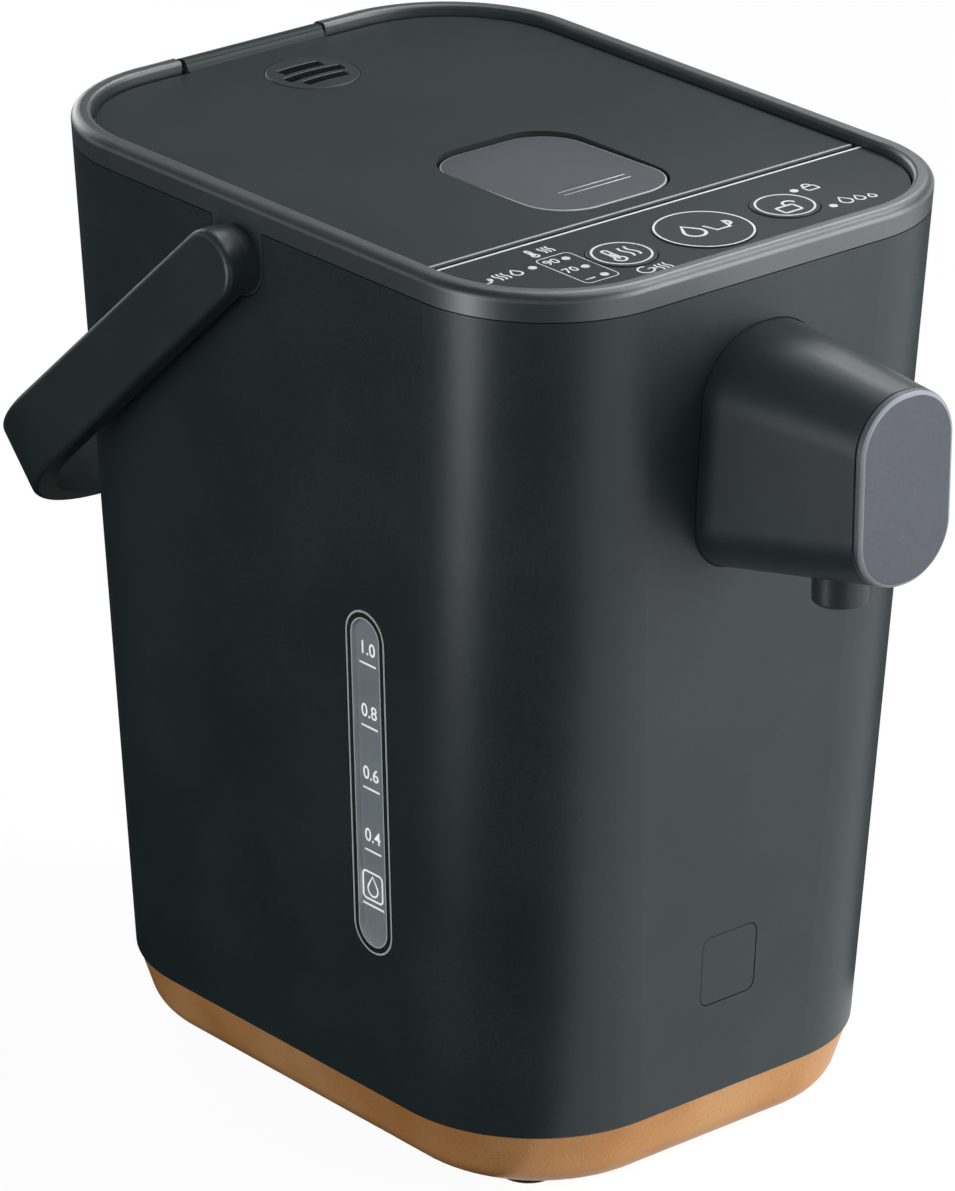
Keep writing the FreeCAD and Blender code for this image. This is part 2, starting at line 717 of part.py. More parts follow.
def heater_plate():
    """Heater clamped to the tank's floor: a disc with the round element cast into it."""
    z1 = TANK_BOTTOM_Z - 0.05
    z0 = z1 - HEATER_THICK
    disc = post(0, TANK_Y, HEATER_R, z0, z1)
    element = Part.makeTorus(HEATER_R - 14, 3.0, Vector(0, TANK_Y, z0), Z_AXIS)
    element = element.common(post(0, TANK_Y, HEATER_R, z0 - 5, z0 + 0.5))
    disc = disc.fuse(element)
    disc = disc.cut(post(0, OUTLET_Y, SPIGOT_R + HOSE_WALL + 1.5, z0 - 5, z1 + 1))
    return disc


def heater_strap():
    """Strap that presses the heater to the tank, held to the stand's inner wall."""
    z1 = TANK_BOTTOM_Z - HEATER_THICK - 3.2
    half = STAND_R - STAND_WALL - 0.2
    strap = box(-half, half, TANK_Y + 13, TANK_Y + 25, z1 - 1.6, z1)
    reach = math.sqrt(half * half - 25 * 25)
    return strap.common(box(-reach, reach, 0, DEPTH_TOP, 0, TOTAL_HEIGHT))


def thermostat():
    """Snap disc thermostat under the tank."""
    z1 = TANK_BOTTOM_Z - HEATER_THICK - 0.1
    body = post(0, TANK_Y, 8.5, z1 - 9, z1 - 2).fuse(post(0, TANK_Y, 6.5, z1 - 9, z1))
    for side in (-1, 1):
        body = body.fuse(box(side * 5 - 1.6, side * 5 + 1.6, TANK_Y - 0.4, TANK_Y + 0.4, z1 - 16, z1 - 8))
    return body


def thermal_fuse():
    """Small fuse capsule in its clip on the heater."""
    z1 = TANK_BOTTOM_Z - HEATER_THICK - 0.1
    capsule = rod(2.0, Vector(-8, TANK_Y - 13, z1 - 2.1), Vector(8, TANK_Y - 13, z1 - 2.1))
    return capsule.fuse(rod(0.6, Vector(-14, TANK_Y - 13, z1 - 2.1), Vector(14, TANK_Y - 13, z1 - 2.1)))


# Pump and hoses

def pump_housing():
    """Round pump chamber with an inlet below and a side outlet."""
    z1 = PUMP_Z + PUMP_HEIGHT
    chamber = post(0, PUMP_Y, PUMP_R, PUMP_Z, z1)
    outlet_y = PUMP_Y + PUMP_R - SPIGOT_R - 1.5
    outlet_z = PUMP_Z + PUMP_HEIGHT / 2
    chamber = chamber.fuse(cross_rod(SPIGOT_R, -PUMP_R - 6, -4, outlet_y, outlet_z))
    chamber = chamber.fuse(post(0, PUMP_Y, SPIGOT_R, PUMP_Z - 8, PUMP_Z + 1))
    for turn in (30, 150, 270):
        angle = math.radians(turn)
        x = PUMP_LEG_OUT * math.cos(angle)
        y = PUMP_Y + PUMP_LEG_OUT * math.sin(angle)
        chamber = chamber.fuse(post(x, y, PUMP_LEG_R, FLOOR_Z + 0.1, PUMP_Z + 1))
    chamber = chamber.cut(post(0, PUMP_Y, PUMP_R - PUMP_WALL, PUMP_Z + PUMP_WALL, z1 - PUMP_WALL))
    chamber = chamber.cut(post(0, PUMP_Y, SPIGOT_BORE, PUMP_Z - 9, PUMP_Z + PUMP_WALL + 1))
    chamber = chamber.cut(cross_rod(SPIGOT_BORE, -PUMP_R - 7, -8, outlet_y, outlet_z))
    return chamber.cut(post(0, PUMP_Y, SHAFT_R + RUNNING, z1 - PUMP_WALL - 1, z1 + 1))


def pump_impeller():
    """Magnet-driven impeller: a disc with curved vanes on its shaft."""
    z0 = PUMP_Z + PUMP_WALL + IMPELLER_GAP
    z1 = PUMP_Z + PUMP_HEIGHT - PUMP_WALL - IMPELLER_GAP
    wheel = post(0, 0, IMPELLER_R, z1 - 2.0, z1)
    for index in range(IMPELLER_VANES):
        vane = ring(0, IMPELLER_R * 0.75, IMPELLER_R * 0.75, IMPELLER_R * 0.75 - 1.4, z0, z1 - 1)
        vane = vane.common(post(0, 0, IMPELLER_R, z0, z1))
        vane = vane.common(box(0, IMPELLER_R, 0, IMPELLER_R, z0, z1))
        vane.rotate(Vector(0, 0, 0), Z_AXIS, 360.0 * index / IMPELLER_VANES)
        wheel = wheel.fuse(vane)
    wheel = wheel.fuse(post(0, 0, 3.4, z0, z1))
    wheel = wheel.fuse(post(0, 0, SHAFT_R, z1 - 1, PUMP_Z + PUMP_HEIGHT + 0.1))
    wheel.translate(Vector(0, PUMP_Y, 0))
    return wheel


def pump_motor():
    """Motor can on top of the pump, with its end cap and terminals."""
    z0 = PUMP_Z + PUMP_HEIGHT + 0.3
    z1 = z0 + MOTOR_HEIGHT
    motor = post(0, PUMP_Y, MOTOR_R, z0, z1)
    motor = motor.makeFillet(1.5, edges_at(motor, z1))
    motor = motor.fuse(post(0, PUMP_Y, 5, z1 - 1, z1 + 2.5))
    for side in (-1, 1):
        motor = motor.fuse(box(side * 9 - 1.2, side * 9 + 1.2, PUMP_Y - 0.4, PUMP_Y + 0.4, z1 - 1, z1 + 5))
    return motor


def suction_hose():
    """Hose from the tank's outlet down and forward to the pump's inlet."""
    top = TANK_BOTTOM_Z - 11
    points = [
        Vector(0, OUTLET_Y, top),
        Vector(0, OUTLET_Y, HOSE_LOW_Z),
        Vector(0, PUMP_Y, HOSE_LOW_Z),
        Vector(0, PUMP_Y, PUMP_Z - 0.3),
    ]
    hose = tube(points, SPIGOT_R + 0.1 + HOSE_WALL, SPIGOT_BORE, HOSE_BEND)
    hose = hose.cut(post(0, OUTLET_Y, SPIGOT_R + 0.1, TANK_BOTTOM_Z - 12.1, top + 1))
    return hose.cut(post(0, PUMP_Y, SPIGOT_R + 0.1, PUMP_Z - 8.1, PUMP_Z))


def riser_hose():
    """Hose from the pump's outlet to the foot of the gauge tube."""
    outlet_y = PUMP_Y + PUMP_R - SPIGOT_R - 1.5
    outlet_z = PUMP_Z + PUMP_HEIGHT / 2
    start_x = -PUMP_R - 0.3
    points = [
        Vector(start_x, outlet_y, outlet_z),
        Vector(TUBE_X + 12, outlet_y, outlet_z),
        Vector(TUBE_X, GAUGE_Y, outlet_z - 1.0),
        Vector(TUBE_X, GAUGE_Y, TUBE_BOTTOM_Z + 8),
    ]
    hose = tube(points, TUBE_R + 0.1 + HOSE_WALL, SPIGOT_BORE, 6.5)
    hose = hose.cut(cross_rod(SPIGOT_R + 0.1, -PUMP_R - 6.1, start_x + 1, outlet_y, outlet_z))
    return hose.cut(post(TUBE_X, GAUGE_Y, TUBE_R + 0.1, TUBE_BOTTOM_Z - 0.1, TUBE_BOTTOM_Z + 9))


def level_tube():
    """Clear riser tube behind the gauge window: the water in it stands as high as in the tank."""
    return ring(TUBE_X, GAUGE_Y, TUBE_R, TUBE_BORE, TUBE_BOTTOM_Z, TUBE_TOP_Z)


def delivery_hose():
    """Hose from the top of the gauge tube across to the spout's pipe."""
    points = [
        Vector(TUBE_X, GAUGE_Y, TUBE_TOP_Z - 8),
        Vector(TUBE_X, GAUGE_Y, PIPE_Z),
        Vector(0, DELIVERY_Y, PIPE_Z),
        Vector(0, PIPE_START_Y - 8, PIPE_Z),
    ]
    outer = PIPE_R + 0.1 + HOSE_WALL
    hose = tube(points, outer, SPIGOT_BORE, 9.0)
    hose = hose.cut(post(TUBE_X, GAUGE_Y, TUBE_R + 0.1, TUBE_TOP_Z - 9, TUBE_TOP_Z + 0.1))
    pipe_end = rod(PIPE_R + 0.1, Vector(0, PIPE_START_Y + 0.1, PIPE_Z), Vector(0, PIPE_START_Y - 9, PIPE_Z))
    return hose.cut(pipe_end)


# Spout

def spout_housing():
    """Hollow spout that tapers outwards, with a flange behind the sleeve."""
    back_y = SPOUT_ROOT_Y + SPOUT_FLANGE_BACK
    outer = spout_block(back_y, 0, SPOUT_END_Y, 0)
    front_edges = []
    for edge in outer.Edges:
        if edge.BoundBox.YMax < SPOUT_END_Y + 0.01:
            front_edges.append(edge)
    outer = outer.makeFillet(SPOUT_EDGE, front_edges)
    flange = spout_block(back_y, -SPOUT_FLANGE, back_y - 2.0, -SPOUT_FLANGE)
    hollow = spout_block(back_y + 1, SPOUT_WALL, SPOUT_END_Y + FACE_SPIGOT + 2, SPOUT_WALL)
    mouth = spout_block(SPOUT_END_Y + FACE_SPIGOT + 2.5, SPOUT_LIP, SPOUT_END_Y - 1, SPOUT_LIP)
    housing = outer.fuse(flange).cut(hollow).cut(mouth)
    return housing.cut(post(0, NOZZLE_Y, NOZZLE_R + RUNNING, 0, PIPE_Z - 10))


def spout_face():
    """Smooth cap that closes the end of the spout, slightly proud of it."""
    front_y = SPOUT_END_Y - FACE_PROUD
    cap = spout_block(SPOUT_END_Y - FACE_GROOVE, 0, front_y, 0)
    edges = []
    for edge in cap.Edges:
        if edge.BoundBox.YMax < front_y + 0.01:
            edges.append(edge)
    cap = cap.makeFillet(FACE_ROUND, edges)
    inset = SPOUT_LIP + FIT / 2
    spigot = spout_block(SPOUT_END_Y + FACE_SPIGOT, inset, SPOUT_END_Y - 1, inset)
    hollow = spout_block(SPOUT_END_Y + FACE_SPIGOT + 1, inset + 1.6, SPOUT_END_Y, inset + 1.6)
    return cap.fuse(spigot).cut(hollow)


def spout_nozzle():
    """Outlet tube under the spout."""
    nozzle = post(0, NOZZLE_Y, NOZZLE_R, NOZZLE_TIP_Z, NOZZLE_TOP_Z)
    nozzle = nozzle.makeFillet(0.8, edges_at(nozzle, NOZZLE_TIP_Z))
    floor_z = spout_sizes(NOZZLE_Y)[2]
    collar = post(0, NOZZLE_Y, NOZZLE_R + 2.0, floor_z - 3, floor_z + 6.0)
    inside = spout_block(SPOUT_ROOT_Y, SPOUT_WALL + 0.2, SPOUT_END_Y, SPOUT_WALL + 0.2)
    nozzle = nozzle.fuse(collar.common(inside))
    nozzle = nozzle.cut(post(0, NOZZLE_Y, NOZZLE_BORE, NOZZLE_TIP_Z - 1, NOZZLE_TOP_Z + 1))
    return nozzle.cut(post(0, NOZZLE_Y, PIPE_R + 0.1, NOZZLE_TOP_Z - 6, NOZZLE_TOP_Z + 1))


def spout_pipe():
    """Bent pipe inside the spout, from the hose to the nozzle."""
    points = [
        Vector(0, PIPE_START_Y, PIPE_Z),
        Vector(0, NOZZLE_Y, PIPE_Z),
        Vector(0, NOZZLE_Y, NOZZLE_TOP_Z - 5.9),
    ]
    return tube(points, PIPE_R, PIPE_BORE, PIPE_BEND)


# Gauge and badge

def gauge_bezel():
    """Frame of the gauge, set in the sleeve's slot, with a sunk seat for the pane."""
    length = GAUGE_TOP_Z - GAUGE_BOTTOM_Z
    frame = stadium(GAUGE_WIDTH, length, -0.0, GAUGE_DEPTH)
    frame = frame.fuse(stadium(GAUGE_WIDTH + 4, length + 4, SHELL_WALL + 0.3, GAUGE_DEPTH))
    window = GAUGE_WIDTH - 2 * GAUGE_BORDER
    frame = frame.cut(stadium(window, length - 2 * GAUGE_BORDER, -1, GAUGE_DEPTH + 1))
    return on_left_wall(frame, GAUGE_Y, (GAUGE_BOTTOM_Z + GAUGE_TOP_Z) / 2)


def gauge_window():
    """Clear pane, sunk into the frame."""
    width = GAUGE_WIDTH - 2 * GAUGE_BORDER - 0.1
    length = GAUGE_TOP_Z - GAUGE_BOTTOM_Z - 2 * GAUGE_BORDER - 0.1
    pane = stadium(width, length, GAUGE_SUNK, GAUGE_SUNK + GAUGE_PANE)
    return on_left_wall(pane, GAUGE_Y, (GAUGE_BOTTOM_Z + GAUGE_TOP_Z) / 2)


def gauge_backing():
    """Pale trough behind the level tube, open at both ends, seen through the pane."""
    half = TROUGH_WIDTH / 2
    reach = TROUGH_LENGTH / 2
    trough = box(GAUGE_DEPTH + 0.05, TROUGH_DEPTH, -half, half, -reach, reach)
    half -= TROUGH_WALL
    trough = trough.cut(box(0, TROUGH_DEPTH - TROUGH_WALL, -half, half, -reach - 1, reach + 1))
    return on_left_wall(trough, GAUGE_Y, (GAUGE_BOTTOM_Z + GAUGE_TOP_Z) / 2)


def badge_block(grow, depth, proud):
    """Small rounded square on the front wall, grown all round, from proud to depth."""
    wire = outline(
        BADGE_WIDTH / 2 + grow,
        -BADGE_HEIGHT / 2 - grow,
        BADGE_HEIGHT / 2 + grow,
        BADGE_CORNER + grow,
        BADGE_CORNER + grow,
        0,
    )
    wire.rotate(Vector(0, 0, 0), X_AXIS, 90)
    wire.translate(Vector(0, -proud, 0))
    block = Part.Face(wire).extrude(Vector(0, depth + proud, 0))
    return on_front_wall(block, BADGE_Z)


def badge_plate():
    """Bare badge plate in its pocket."""
    return badge_block(0, BADGE_THICK + 0.1, -0.1)


# Control panel

def panel_outline(z, inset):
    growth = CORNER_GROWTH * (TOTAL_HEIGHT - z)
    return outline(
        half_width_at(z, inset),
        front_at(z, inset),
        SPLIT_Y - SPLIT_GAP / 2,
        FRONT_CORNER + growth - inset,
        0.8,
        z,
    )


def key_places():
    """Place and radius of the three keys: keep warm, dispense, unlock."""
    return ((-KEY_SPACING, SMALL_KEY_R), (0.0, BIG_KEY_R), (KEY_SPACING, SMALL_KEY_R))


def post_places():
    return [(sx * x, y) for sx in (-1, 1) for x, y in ((53.0, -63.5), (17.5, -86.4))]


def control_panel():
    """Top plate in front of the lid, with holes for keys and lights and posts for its board."""
    panel = slab(panel_outline(PLATE_UNDER_Z, RIM_WIDTH + FIT), PLATE_THICK)
    panel = panel.makeFillet(0.4, [e for e in edges_at(panel, PLATE_Z) if e.Length > 5])
    for x, r in key_places():
        panel = panel.cut(post(x, KEY_Y, r + KEY_GAP, PLATE_UNDER_Z - 1, PLATE_Z + 1))
    for x, y in LIGHT_PLACES:
        panel = panel.cut(post(x, y, LIGHT_R + 0.05, PLATE_UNDER_Z - 1, PLATE_Z + 1))
    for x, y in post_places():
        panel = panel.fuse(post(x, y, 2.4, BOARD_Z + BOARD_THICK + 0.05, PLATE_UNDER_Z + 0.5))
    return panel


def control_board():
    """Circuit board under the panel."""
    back = SPLIT_Y - PARTITION_WALL - 1.5
    front = SPOUT_ROOT_Y + SPOUT_FLANGE_BACK + 1.2
    board = slab(outline(56, front, back, 18, 1.0, BOARD_Z), BOARD_THICK)
    board = board.fuse(box(-12, -2, back - 9, back - 3, BOARD_Z - 2.0, BOARD_Z + 0.1))
    board = board.fuse(box(18, 40, back - 9, back - 2, BOARD_Z - 7, BOARD_Z + 0.1))
    return board


def tact_switches():
    """Push switches on the board, one under each key."""
    z0 = BOARD_Z + BOARD_THICK + 0.02
    switches = []
    for x, r in key_places():
        half = SWITCH_SIZE / 2
        switch = box(x - half, x + half, KEY_Y - half, KEY_Y + half, z0, z0 + SWITCH_HEIGHT - 1.0)
        switches.append(switch.fuse(post(x, KEY_Y, 1.7, z0, z0 + SWITCH_HEIGHT)))
    return Part.makeCompound(switches)


def led_lenses():
    """Clear light guides from the board to the panel's face."""
    z0 = BOARD_Z + BOARD_THICK + 0.05
    guides = []
    for x, y in LIGHT_PLACES:
        guide = post(x, y, LIGHT_R, z0 + 1.5, PLATE_Z + 0.05)
        guides.append(guide.fuse(post(x, y, LIGHT_R + LIGHT_COLLAR, z0, PLATE_UNDER_Z - 0.2)))
    return Part.makeCompound(guides)


def key(x, r):
    """Round key: a domed-edge cap, a flange that stops it under the plate, and a stem."""
    top = PLATE_Z + KEY_PROUD
    flange_z = PLATE_UNDER_Z - 0.15
    cap = post(x, KEY_Y, r, flange_z - 1.0, top)
    cap = cap.makeFillet(KEY_EDGE, edges_at(cap, top))
    cap = cap.fuse(post(x, KEY_Y, r + KEY_FLANGE, flange_z - 1.4, flange_z))
    stem_z = BOARD_Z + BOARD_THICK + 0.02 + SWITCH_HEIGHT + KEY_TRAVEL + 0.25
    cap = cap.cut(post(x, KEY_Y, r - 1.8, flange_z - 3, top - 1.6))
    return cap.fuse(post(x, KEY_Y, KEY_STEM_R, stem_z, top - 1.0))


def keep_warm_button():
    return key(*key_places()[0])


def dispense_button():
    return key(*key_places()[1])


def unlock_button():
    return key(*key_places()[2])


# Lid

def lid_cover():
    """Top plate of the lid with the hinge bar at its rear edge."""
    half = half_width_at(PLATE_Z, RIM_WIDTH + LID_GAP)
    front = SPLIT_Y + SPLIT_GAP / 2
    back = HINGE_Y - HINGE_CLEAR
    plate = slab(outline(half, front, back, 0.8, LID_BACK_CORNER, PLATE_UNDER_Z), PLATE_THICK)
    plate = plate.makeFillet(0.4, [e for e in edges_at(plate, PLATE_Z) if e.Length > 5])
    plate = plate.cut(lever_outline_block(LEVER_GAP, PLATE_UNDER_Z - 1, PLATE_Z + 1))
    plate = plate.cut(post(VENT_X, VENT_Y, VENT_R + 0.15, PLATE_UNDER_Z - 1, PLATE_Z + 1))
    bar = BAR_WIDTH / 2
    plate = plate.fuse(hinge_bar(bar))
    ear_x = LEVER_WIDTH / 2 + LEVER_GAP + 0.6
    for side in (-1, 1):
        x0 = min(side * ear_x, side * (ear_x + LEVER_EAR))
        lug = box(x0, x0 + LEVER_EAR, LEVER_PIVOT_Y - 4, LEVER_PIVOT_Y + 4, LEVER_PIVOT_Z - 4, PLATE_UNDER_Z + 0.5)
        plate = plate.fuse(lug)
    plate = plate.cut(cross_rod(LEVER_PIN_R, -WIDTH_TOP, WIDTH_TOP, LEVER_PIVOT_Y, LEVER_PIVOT_Z))
    for x, y in lid_screw_places():
        plate = plate.fuse(post(x, y, LID_POST_R, LID_POST_Z + 0.1, PLATE_UNDER_Z + 0.5))
        plate = plate.cut(post(x, y, SCREW_R, LID_FLOOR_Z, PLATE_UNDER_Z))
    return plate


def hinge_bar(bar):
    """Bar between the two gaps in the rim: round about the hinge axis, with a straight front."""
    barrel = cross_rod(HINGE_R, -bar, bar, HINGE_Y, HINGE_Z)
    top = HINGE_Z + HINGE_R
    points = [
        Vector(-bar, HINGE_Y, top),
        Vector(-bar, HINGE_Y - 1.6, top),
        Vector(-bar, HINGE_Y - 2.2, top - 0.6),
        Vector(-bar, HINGE_Y - 2.4, PLATE_Z),
        Vector(-bar, HINGE_Y - HINGE_CLEAR - 2, PLATE_Z),
        Vector(-bar, HINGE_Y - HINGE_CLEAR - 2, PLATE_UNDER_Z),
        Vector(-bar, HINGE_Y, PLATE_UNDER_Z),
    ]
    web = Part.Face(Part.makePolygon(points + points[:1])).extrude(Vector(2 * bar, 0, 0))
    whole = barrel.fuse(web)
    return whole.cut(cross_rod(HINGE_PIN_R + RUNNING, -WIDTH_TOP, WIDTH_TOP, HINGE_Y, HINGE_Z))


def lever_outline_block(grow, z0, z1):
    """Rounded rectangle of the lid lever, grown all round."""
    wire = outline(
        LEVER_WIDTH / 2 + grow,
        LEVER_FRONT_Y - grow,
        LEVER_BACK_Y + grow,
        LEVER_CORNER + grow,
        LEVER_CORNER + grow,
        z0,
    )
    return slab(wire, z1 - z0)


def lid_screw_places():
    return [(sx * x, y) for sx in (-1, 1) for x, y in ((58.0, -38.0), (50.0, 70.0))]


def lid_body():
    """Moulded tray under the lid's top plate, with the round plug that enters the mouth."""
    half = half_width_at(PLATE_Z, RIM_WIDTH + LID_GAP + LID_BODY_MARGIN)
    front = SPLIT_Y + LID_BODY_FRONT
    back = HINGE_Y - HINGE_CLEAR - LID_BODY_BACK
    top_z = PLATE_UNDER_Z - 0.1
    r_back = LID_BACK_CORNER - LID_BODY_MARGIN
    tray = slab(outline(half, front, back, 6.0, r_back, LID_FLOOR_Z), top_z - LID_FLOOR_Z)
    inside = outline(half - LID_WALL, front + LID_WALL, back - LID_WALL, 4.0, r_back - LID_WALL, LID_FLOOR_Z + LID_WALL)
    tray = tray.cut(slab(inside, TOTAL_HEIGHT))
    plug_z = LID_FLOOR_Z - PLUG_DEPTH
    tray = tray.fuse(ring(0, TANK_Y, PLUG_R, PLUG_R - LID_WALL, plug_z, LID_FLOOR_Z + 0.5))
    latch_z = LATCH_TOP_Z - LATCH_THICK
    slot = LATCH_WIDTH / 2 + FIT
    tray = tray.cut(box(-slot, slot, front - 1, front + LID_WALL + 1, latch_z - FIT, LATCH_TOP_Z + FIT))
    guide = box(-slot - 2, slot + 2, front + LID_WALL + 3, front + LID_WALL + 16, LID_FLOOR_Z + 1, latch_z - FIT)
    tray = tray.fuse(guide)
    dip = (LEVER_PIVOT_Y - LEVER_FRONT_Y) * math.tan(math.radians(LEVER_TRAVEL))
    dip_z = PLATE_Z - LEVER_THICK - dip - LEVER_CLEAR
    half_lever = LEVER_WIDTH / 2 + LEVER_CLEAR
    tray = tray.cut(box(-half_lever, half_lever, front - 1, front + LID_WALL + 1, dip_z, TOTAL_HEIGHT))
    tray = tray.cut(post(VENT_X, TANK_Y + STEAM_HOLE_Y, 4.5, plug_z - 1, LID_FLOOR_Z + LID_WALL + 1))
    for x, y in lid_screw_places():
        tray = tray.fuse(post(x, y, LID_POST_R + 1.6, LID_FLOOR_Z, LID_POST_Z))
        tray = tray.cut(post(x, y, SCREW_R + RUNNING, LID_FLOOR_Z - 1, LID_POST_Z + 1))
        tray = tray.cut(post(x, y, SCREW_HEAD_R + FIT, LID_FLOOR_Z - 1, LID_POST_Z - LID_WALL))
    return tray


def lid_screws():
    """Screws from below that hold tray and top plate together."""
    screws = []
    for x, y in lid_screw_places():
        seat = LID_POST_Z - LID_WALL - 0.02
        head = post(x, y, SCREW_HEAD_R, seat - 1.8, seat)
        screws.append(head.fuse(post(x, y, SCREW_R - 0.02, seat - 0.5, seat + 11)))
    return Part.makeCompound(screws)


def inner_lid():
    """Pressed steel disc that faces the water."""
    z1 = LID_FLOOR_Z - PLUG_DEPTH - 0.05
    disc = post(0, TANK_Y, INNER_LID_R, z1 - 3.6, z1)
    dish = post(0, TANK_Y, INNER_LID_R - 7, z1 - 4, z1 - 1.0)
    disc = disc.cut(dish)
    for index in range(6):
        turn = math.radians(60 * index)
        x = 12 * math.cos(turn)
        y = TANK_Y + 30 + 12 * math.sin(turn)
        disc = disc.cut(post(x, y, 1.6, z1 - 5, z1 + 1))
    return disc


def lid_gasket():
    """Silicone ring round the inner lid; its lip meets the ledge in the mouth."""
    z0 = SEAT_Z + 0.15
    gasket = ring(0, TANK_Y, GASKET_R, INNER_LID_R + 0.1, z0, z0 + GASKET_HEIGHT)
    return gasket.cut(ring(0, TANK_Y, GASKET_R + 1, GASKET_R - 1.6, z0 + 1.4, z0 + 2.8))


def steam_vent_cap():
    """Round vent in the lid's top with three curved slots."""
    top = PLATE_Z + 0.2
    cap = post(VENT_X, VENT_Y, VENT_R, top - 2.0, top)
    cap = cap.makeFillet(0.5, edges_at(cap, top))
    for offset, reach in ((-4.6, 6.5), (0.0, 8.2), (4.6, 6.5)):
        bow_r = 26.0
        centre_y = VENT_Y + offset - bow_r
        slot = ring(VENT_X, centre_y, bow_r + VENT_SLOT / 2, bow_r - VENT_SLOT / 2, top - 3, top + 1)
        slot = slot.common(box(VENT_X - reach, VENT_X + reach, VENT_Y - 12, VENT_Y + 12, top - 3, top + 1))
        cap = cap.cut(slot)
    return cap.fuse(ring(VENT_X, VENT_Y, DUCT_R - DUCT_WALL - 0.1, DUCT_R - DUCT_WALL - 1.3, top - 5.0, top - 1.9))


def steam_duct():
    """Cup under the vent that leads the steam up and lets drops run back."""
    z0 = LID_FLOOR_Z + LID_WALL + 0.05
    cup = ring(VENT_X, VENT_Y, DUCT_R, DUCT_R - DUCT_WALL, z0, PLATE_UNDER_Z - 0.15)
    cup = cup.fuse(post(VENT_X, VENT_Y, DUCT_R - 0.5, z0, z0 + 1.5))
    return cup.cut(post(VENT_X, TANK_Y + STEAM_HOLE_Y, 3.5, z0 - 1, z0 + 3))


def steam_valve_ball():
    """Ball that shuts the steam way when the pot tips over."""
    z0 = LID_FLOOR_Z + LID_WALL + 0.05 + 1.5
    return Part.makeSphere(4.2, Vector(VENT_X, VENT_Y, z0 + 4.25))


def hinge_pin():
    """Steel pin through the hinge bar, held in the rim on both sides."""
    half = HINGE_PIN_LENGTH / 2 - 0.2
    return cross_rod(HINGE_PIN_R - 0.02, -half, half, HINGE_Y, HINGE_Z)


def lid_lever():
    """See-saw plate in the lid. Its front end is pressed down, and the arm below draws the
    latch back. The rear end lies a little deeper."""
    plate = lever_outline_block(0, PLATE_Z - LEVER_THICK, PLATE_Z)
    plate = plate.makeFillet(0.5, edges_at(plate, PLATE_Z))
    plate.rotate(Vector(0, LEVER_FRONT_Y, PLATE_Z), X_AXIS, -LEVER_SLOPE)
    ear_x = LEVER_WIDTH / 2 - 6
    for side in (-1, 1):
        x0 = min(side * ear_x, side * (ear_x + LEVER_EAR))
        ear = box(x0, x0 + LEVER_EAR, LEVER_PIVOT_Y - 3.2, LEVER_PIVOT_Y + 3.2, LEVER_PIVOT_Z - 3.0, PLATE_Z - 2.2)
        plate = plate.fuse(ear)
    arm = LEVER_ARM_THICK / 2
    plate = plate.fuse(
        box(-3, 3, LEVER_PIVOT_Y - arm, LEVER_PIVOT_Y + arm, LEVER_PIVOT_Z - LEVER_ARM, PLATE_Z - 2.2)
    )
    plate = plate.fuse(cross_rod(LEVER_HUB_R, -3, 3, LEVER_PIVOT_Y, LEVER_PIVOT_Z))
    plate = plate.cut(cross_rod(LEVER_PIN_R + RUNNING, -WIDTH_TOP, WIDTH_TOP, LEVER_PIVOT_Y, LEVER_PIVOT_Z))
    return plate


def lever_pin():
    """Pin on which the lever tilts, held in the lid's two lugs."""
    half = LEVER_WIDTH / 2 + LEVER_GAP + 0.6 + LEVER_EAR
    return cross_rod(LEVER_PIN_R - 0.02, -half, half, LEVER_PIVOT_Y, LEVER_PIVOT_Z)


def lid_latch():
    """Sliding bolt at the lid's front edge, moved by the lever's arm in its slot."""
    half = LATCH_WIDTH / 2
    z0 = LATCH_TOP_Z - LATCH_THICK
    tip = SPLIT_Y + LID_BODY_FRONT - LATCH_REACH
    end = LEVER_PIVOT_Y + 9
    bolt = box(-half, half, tip, tip + LATCH_LENGTH, z0, LATCH_TOP_Z)
    bolt = bolt.fuse(box(-6.5, 6.5, tip + LATCH_LENGTH - 1, end, z0, LATCH_TOP_Z))
    bolt = bolt.makeChamfer(1.5, [e for e in bolt.Edges if e.BoundBox.YMax < tip + 0.01 and e.BoundBox.ZMax < z0 + 0.01])
    arm = LEVER_ARM_THICK / 2
    slot = box(-3.6, 3.6, LEVER_PIVOT_Y - arm - 0.35, LEVER_PIVOT_Y + arm + 0.35, z0 - 1, LATCH_TOP_Z + 1)
    return bolt.cut(slot)


def latch_spring():
    """Bent leaf spring that pushes the bolt out."""
    end = LEVER_PIVOT_Y + 9
    z0 = LID_FLOOR_Z + LID_WALL + 0.05
    leaf = box(-5, 5, end + LATCH_TRAVEL + 0.6, end + LATCH_TRAVEL + 1.2, z0, LATCH_TOP_Z - 0.2)
    return leaf.fuse(box(-5, 5, end + LATCH_TRAVEL + 0.6, end + LATCH_TRAVEL + 9, z0, z0 + 0.6))


# Boards and inlet in the base

def power_board():
    """Supply board on edge posts, with transformer, relay and capacitors."""
    x0, x1 = POWER_BOARD_X
    y0, y1 = POWER_BOARD_Y
    z0 = POWER_BOARD_Z
    board = box(x0, x1, y0, y1, z0, z0 + BOARD_THICK)
    floor_z = FLOOR_Z + 0.1
    top = z0 + BOARD_THICK - 0.2
    board = board.fuse(box(x0 + 1.5, x0 + 15, y0 + 2, y0 + 14, top, top + 13))
    board = board.fuse(box(x0 + 2, x0 + 14, y0 + 16, y0 + 25, top, top + 10))
    for x, y in ((x1 - 5.5, y0 + 8), (x1 - 5.5, y0 + 18)):
        board = board.fuse(post(x, y, 3.6, top, top + 14))
    for x in (x0 + 2.5, x1 - 2.5):
        for y in (y0 + 2.5, y1 - 2.5):
            board = board.fuse(post(x, y, 2.0, floor_z, z0 + 0.5))
    return board


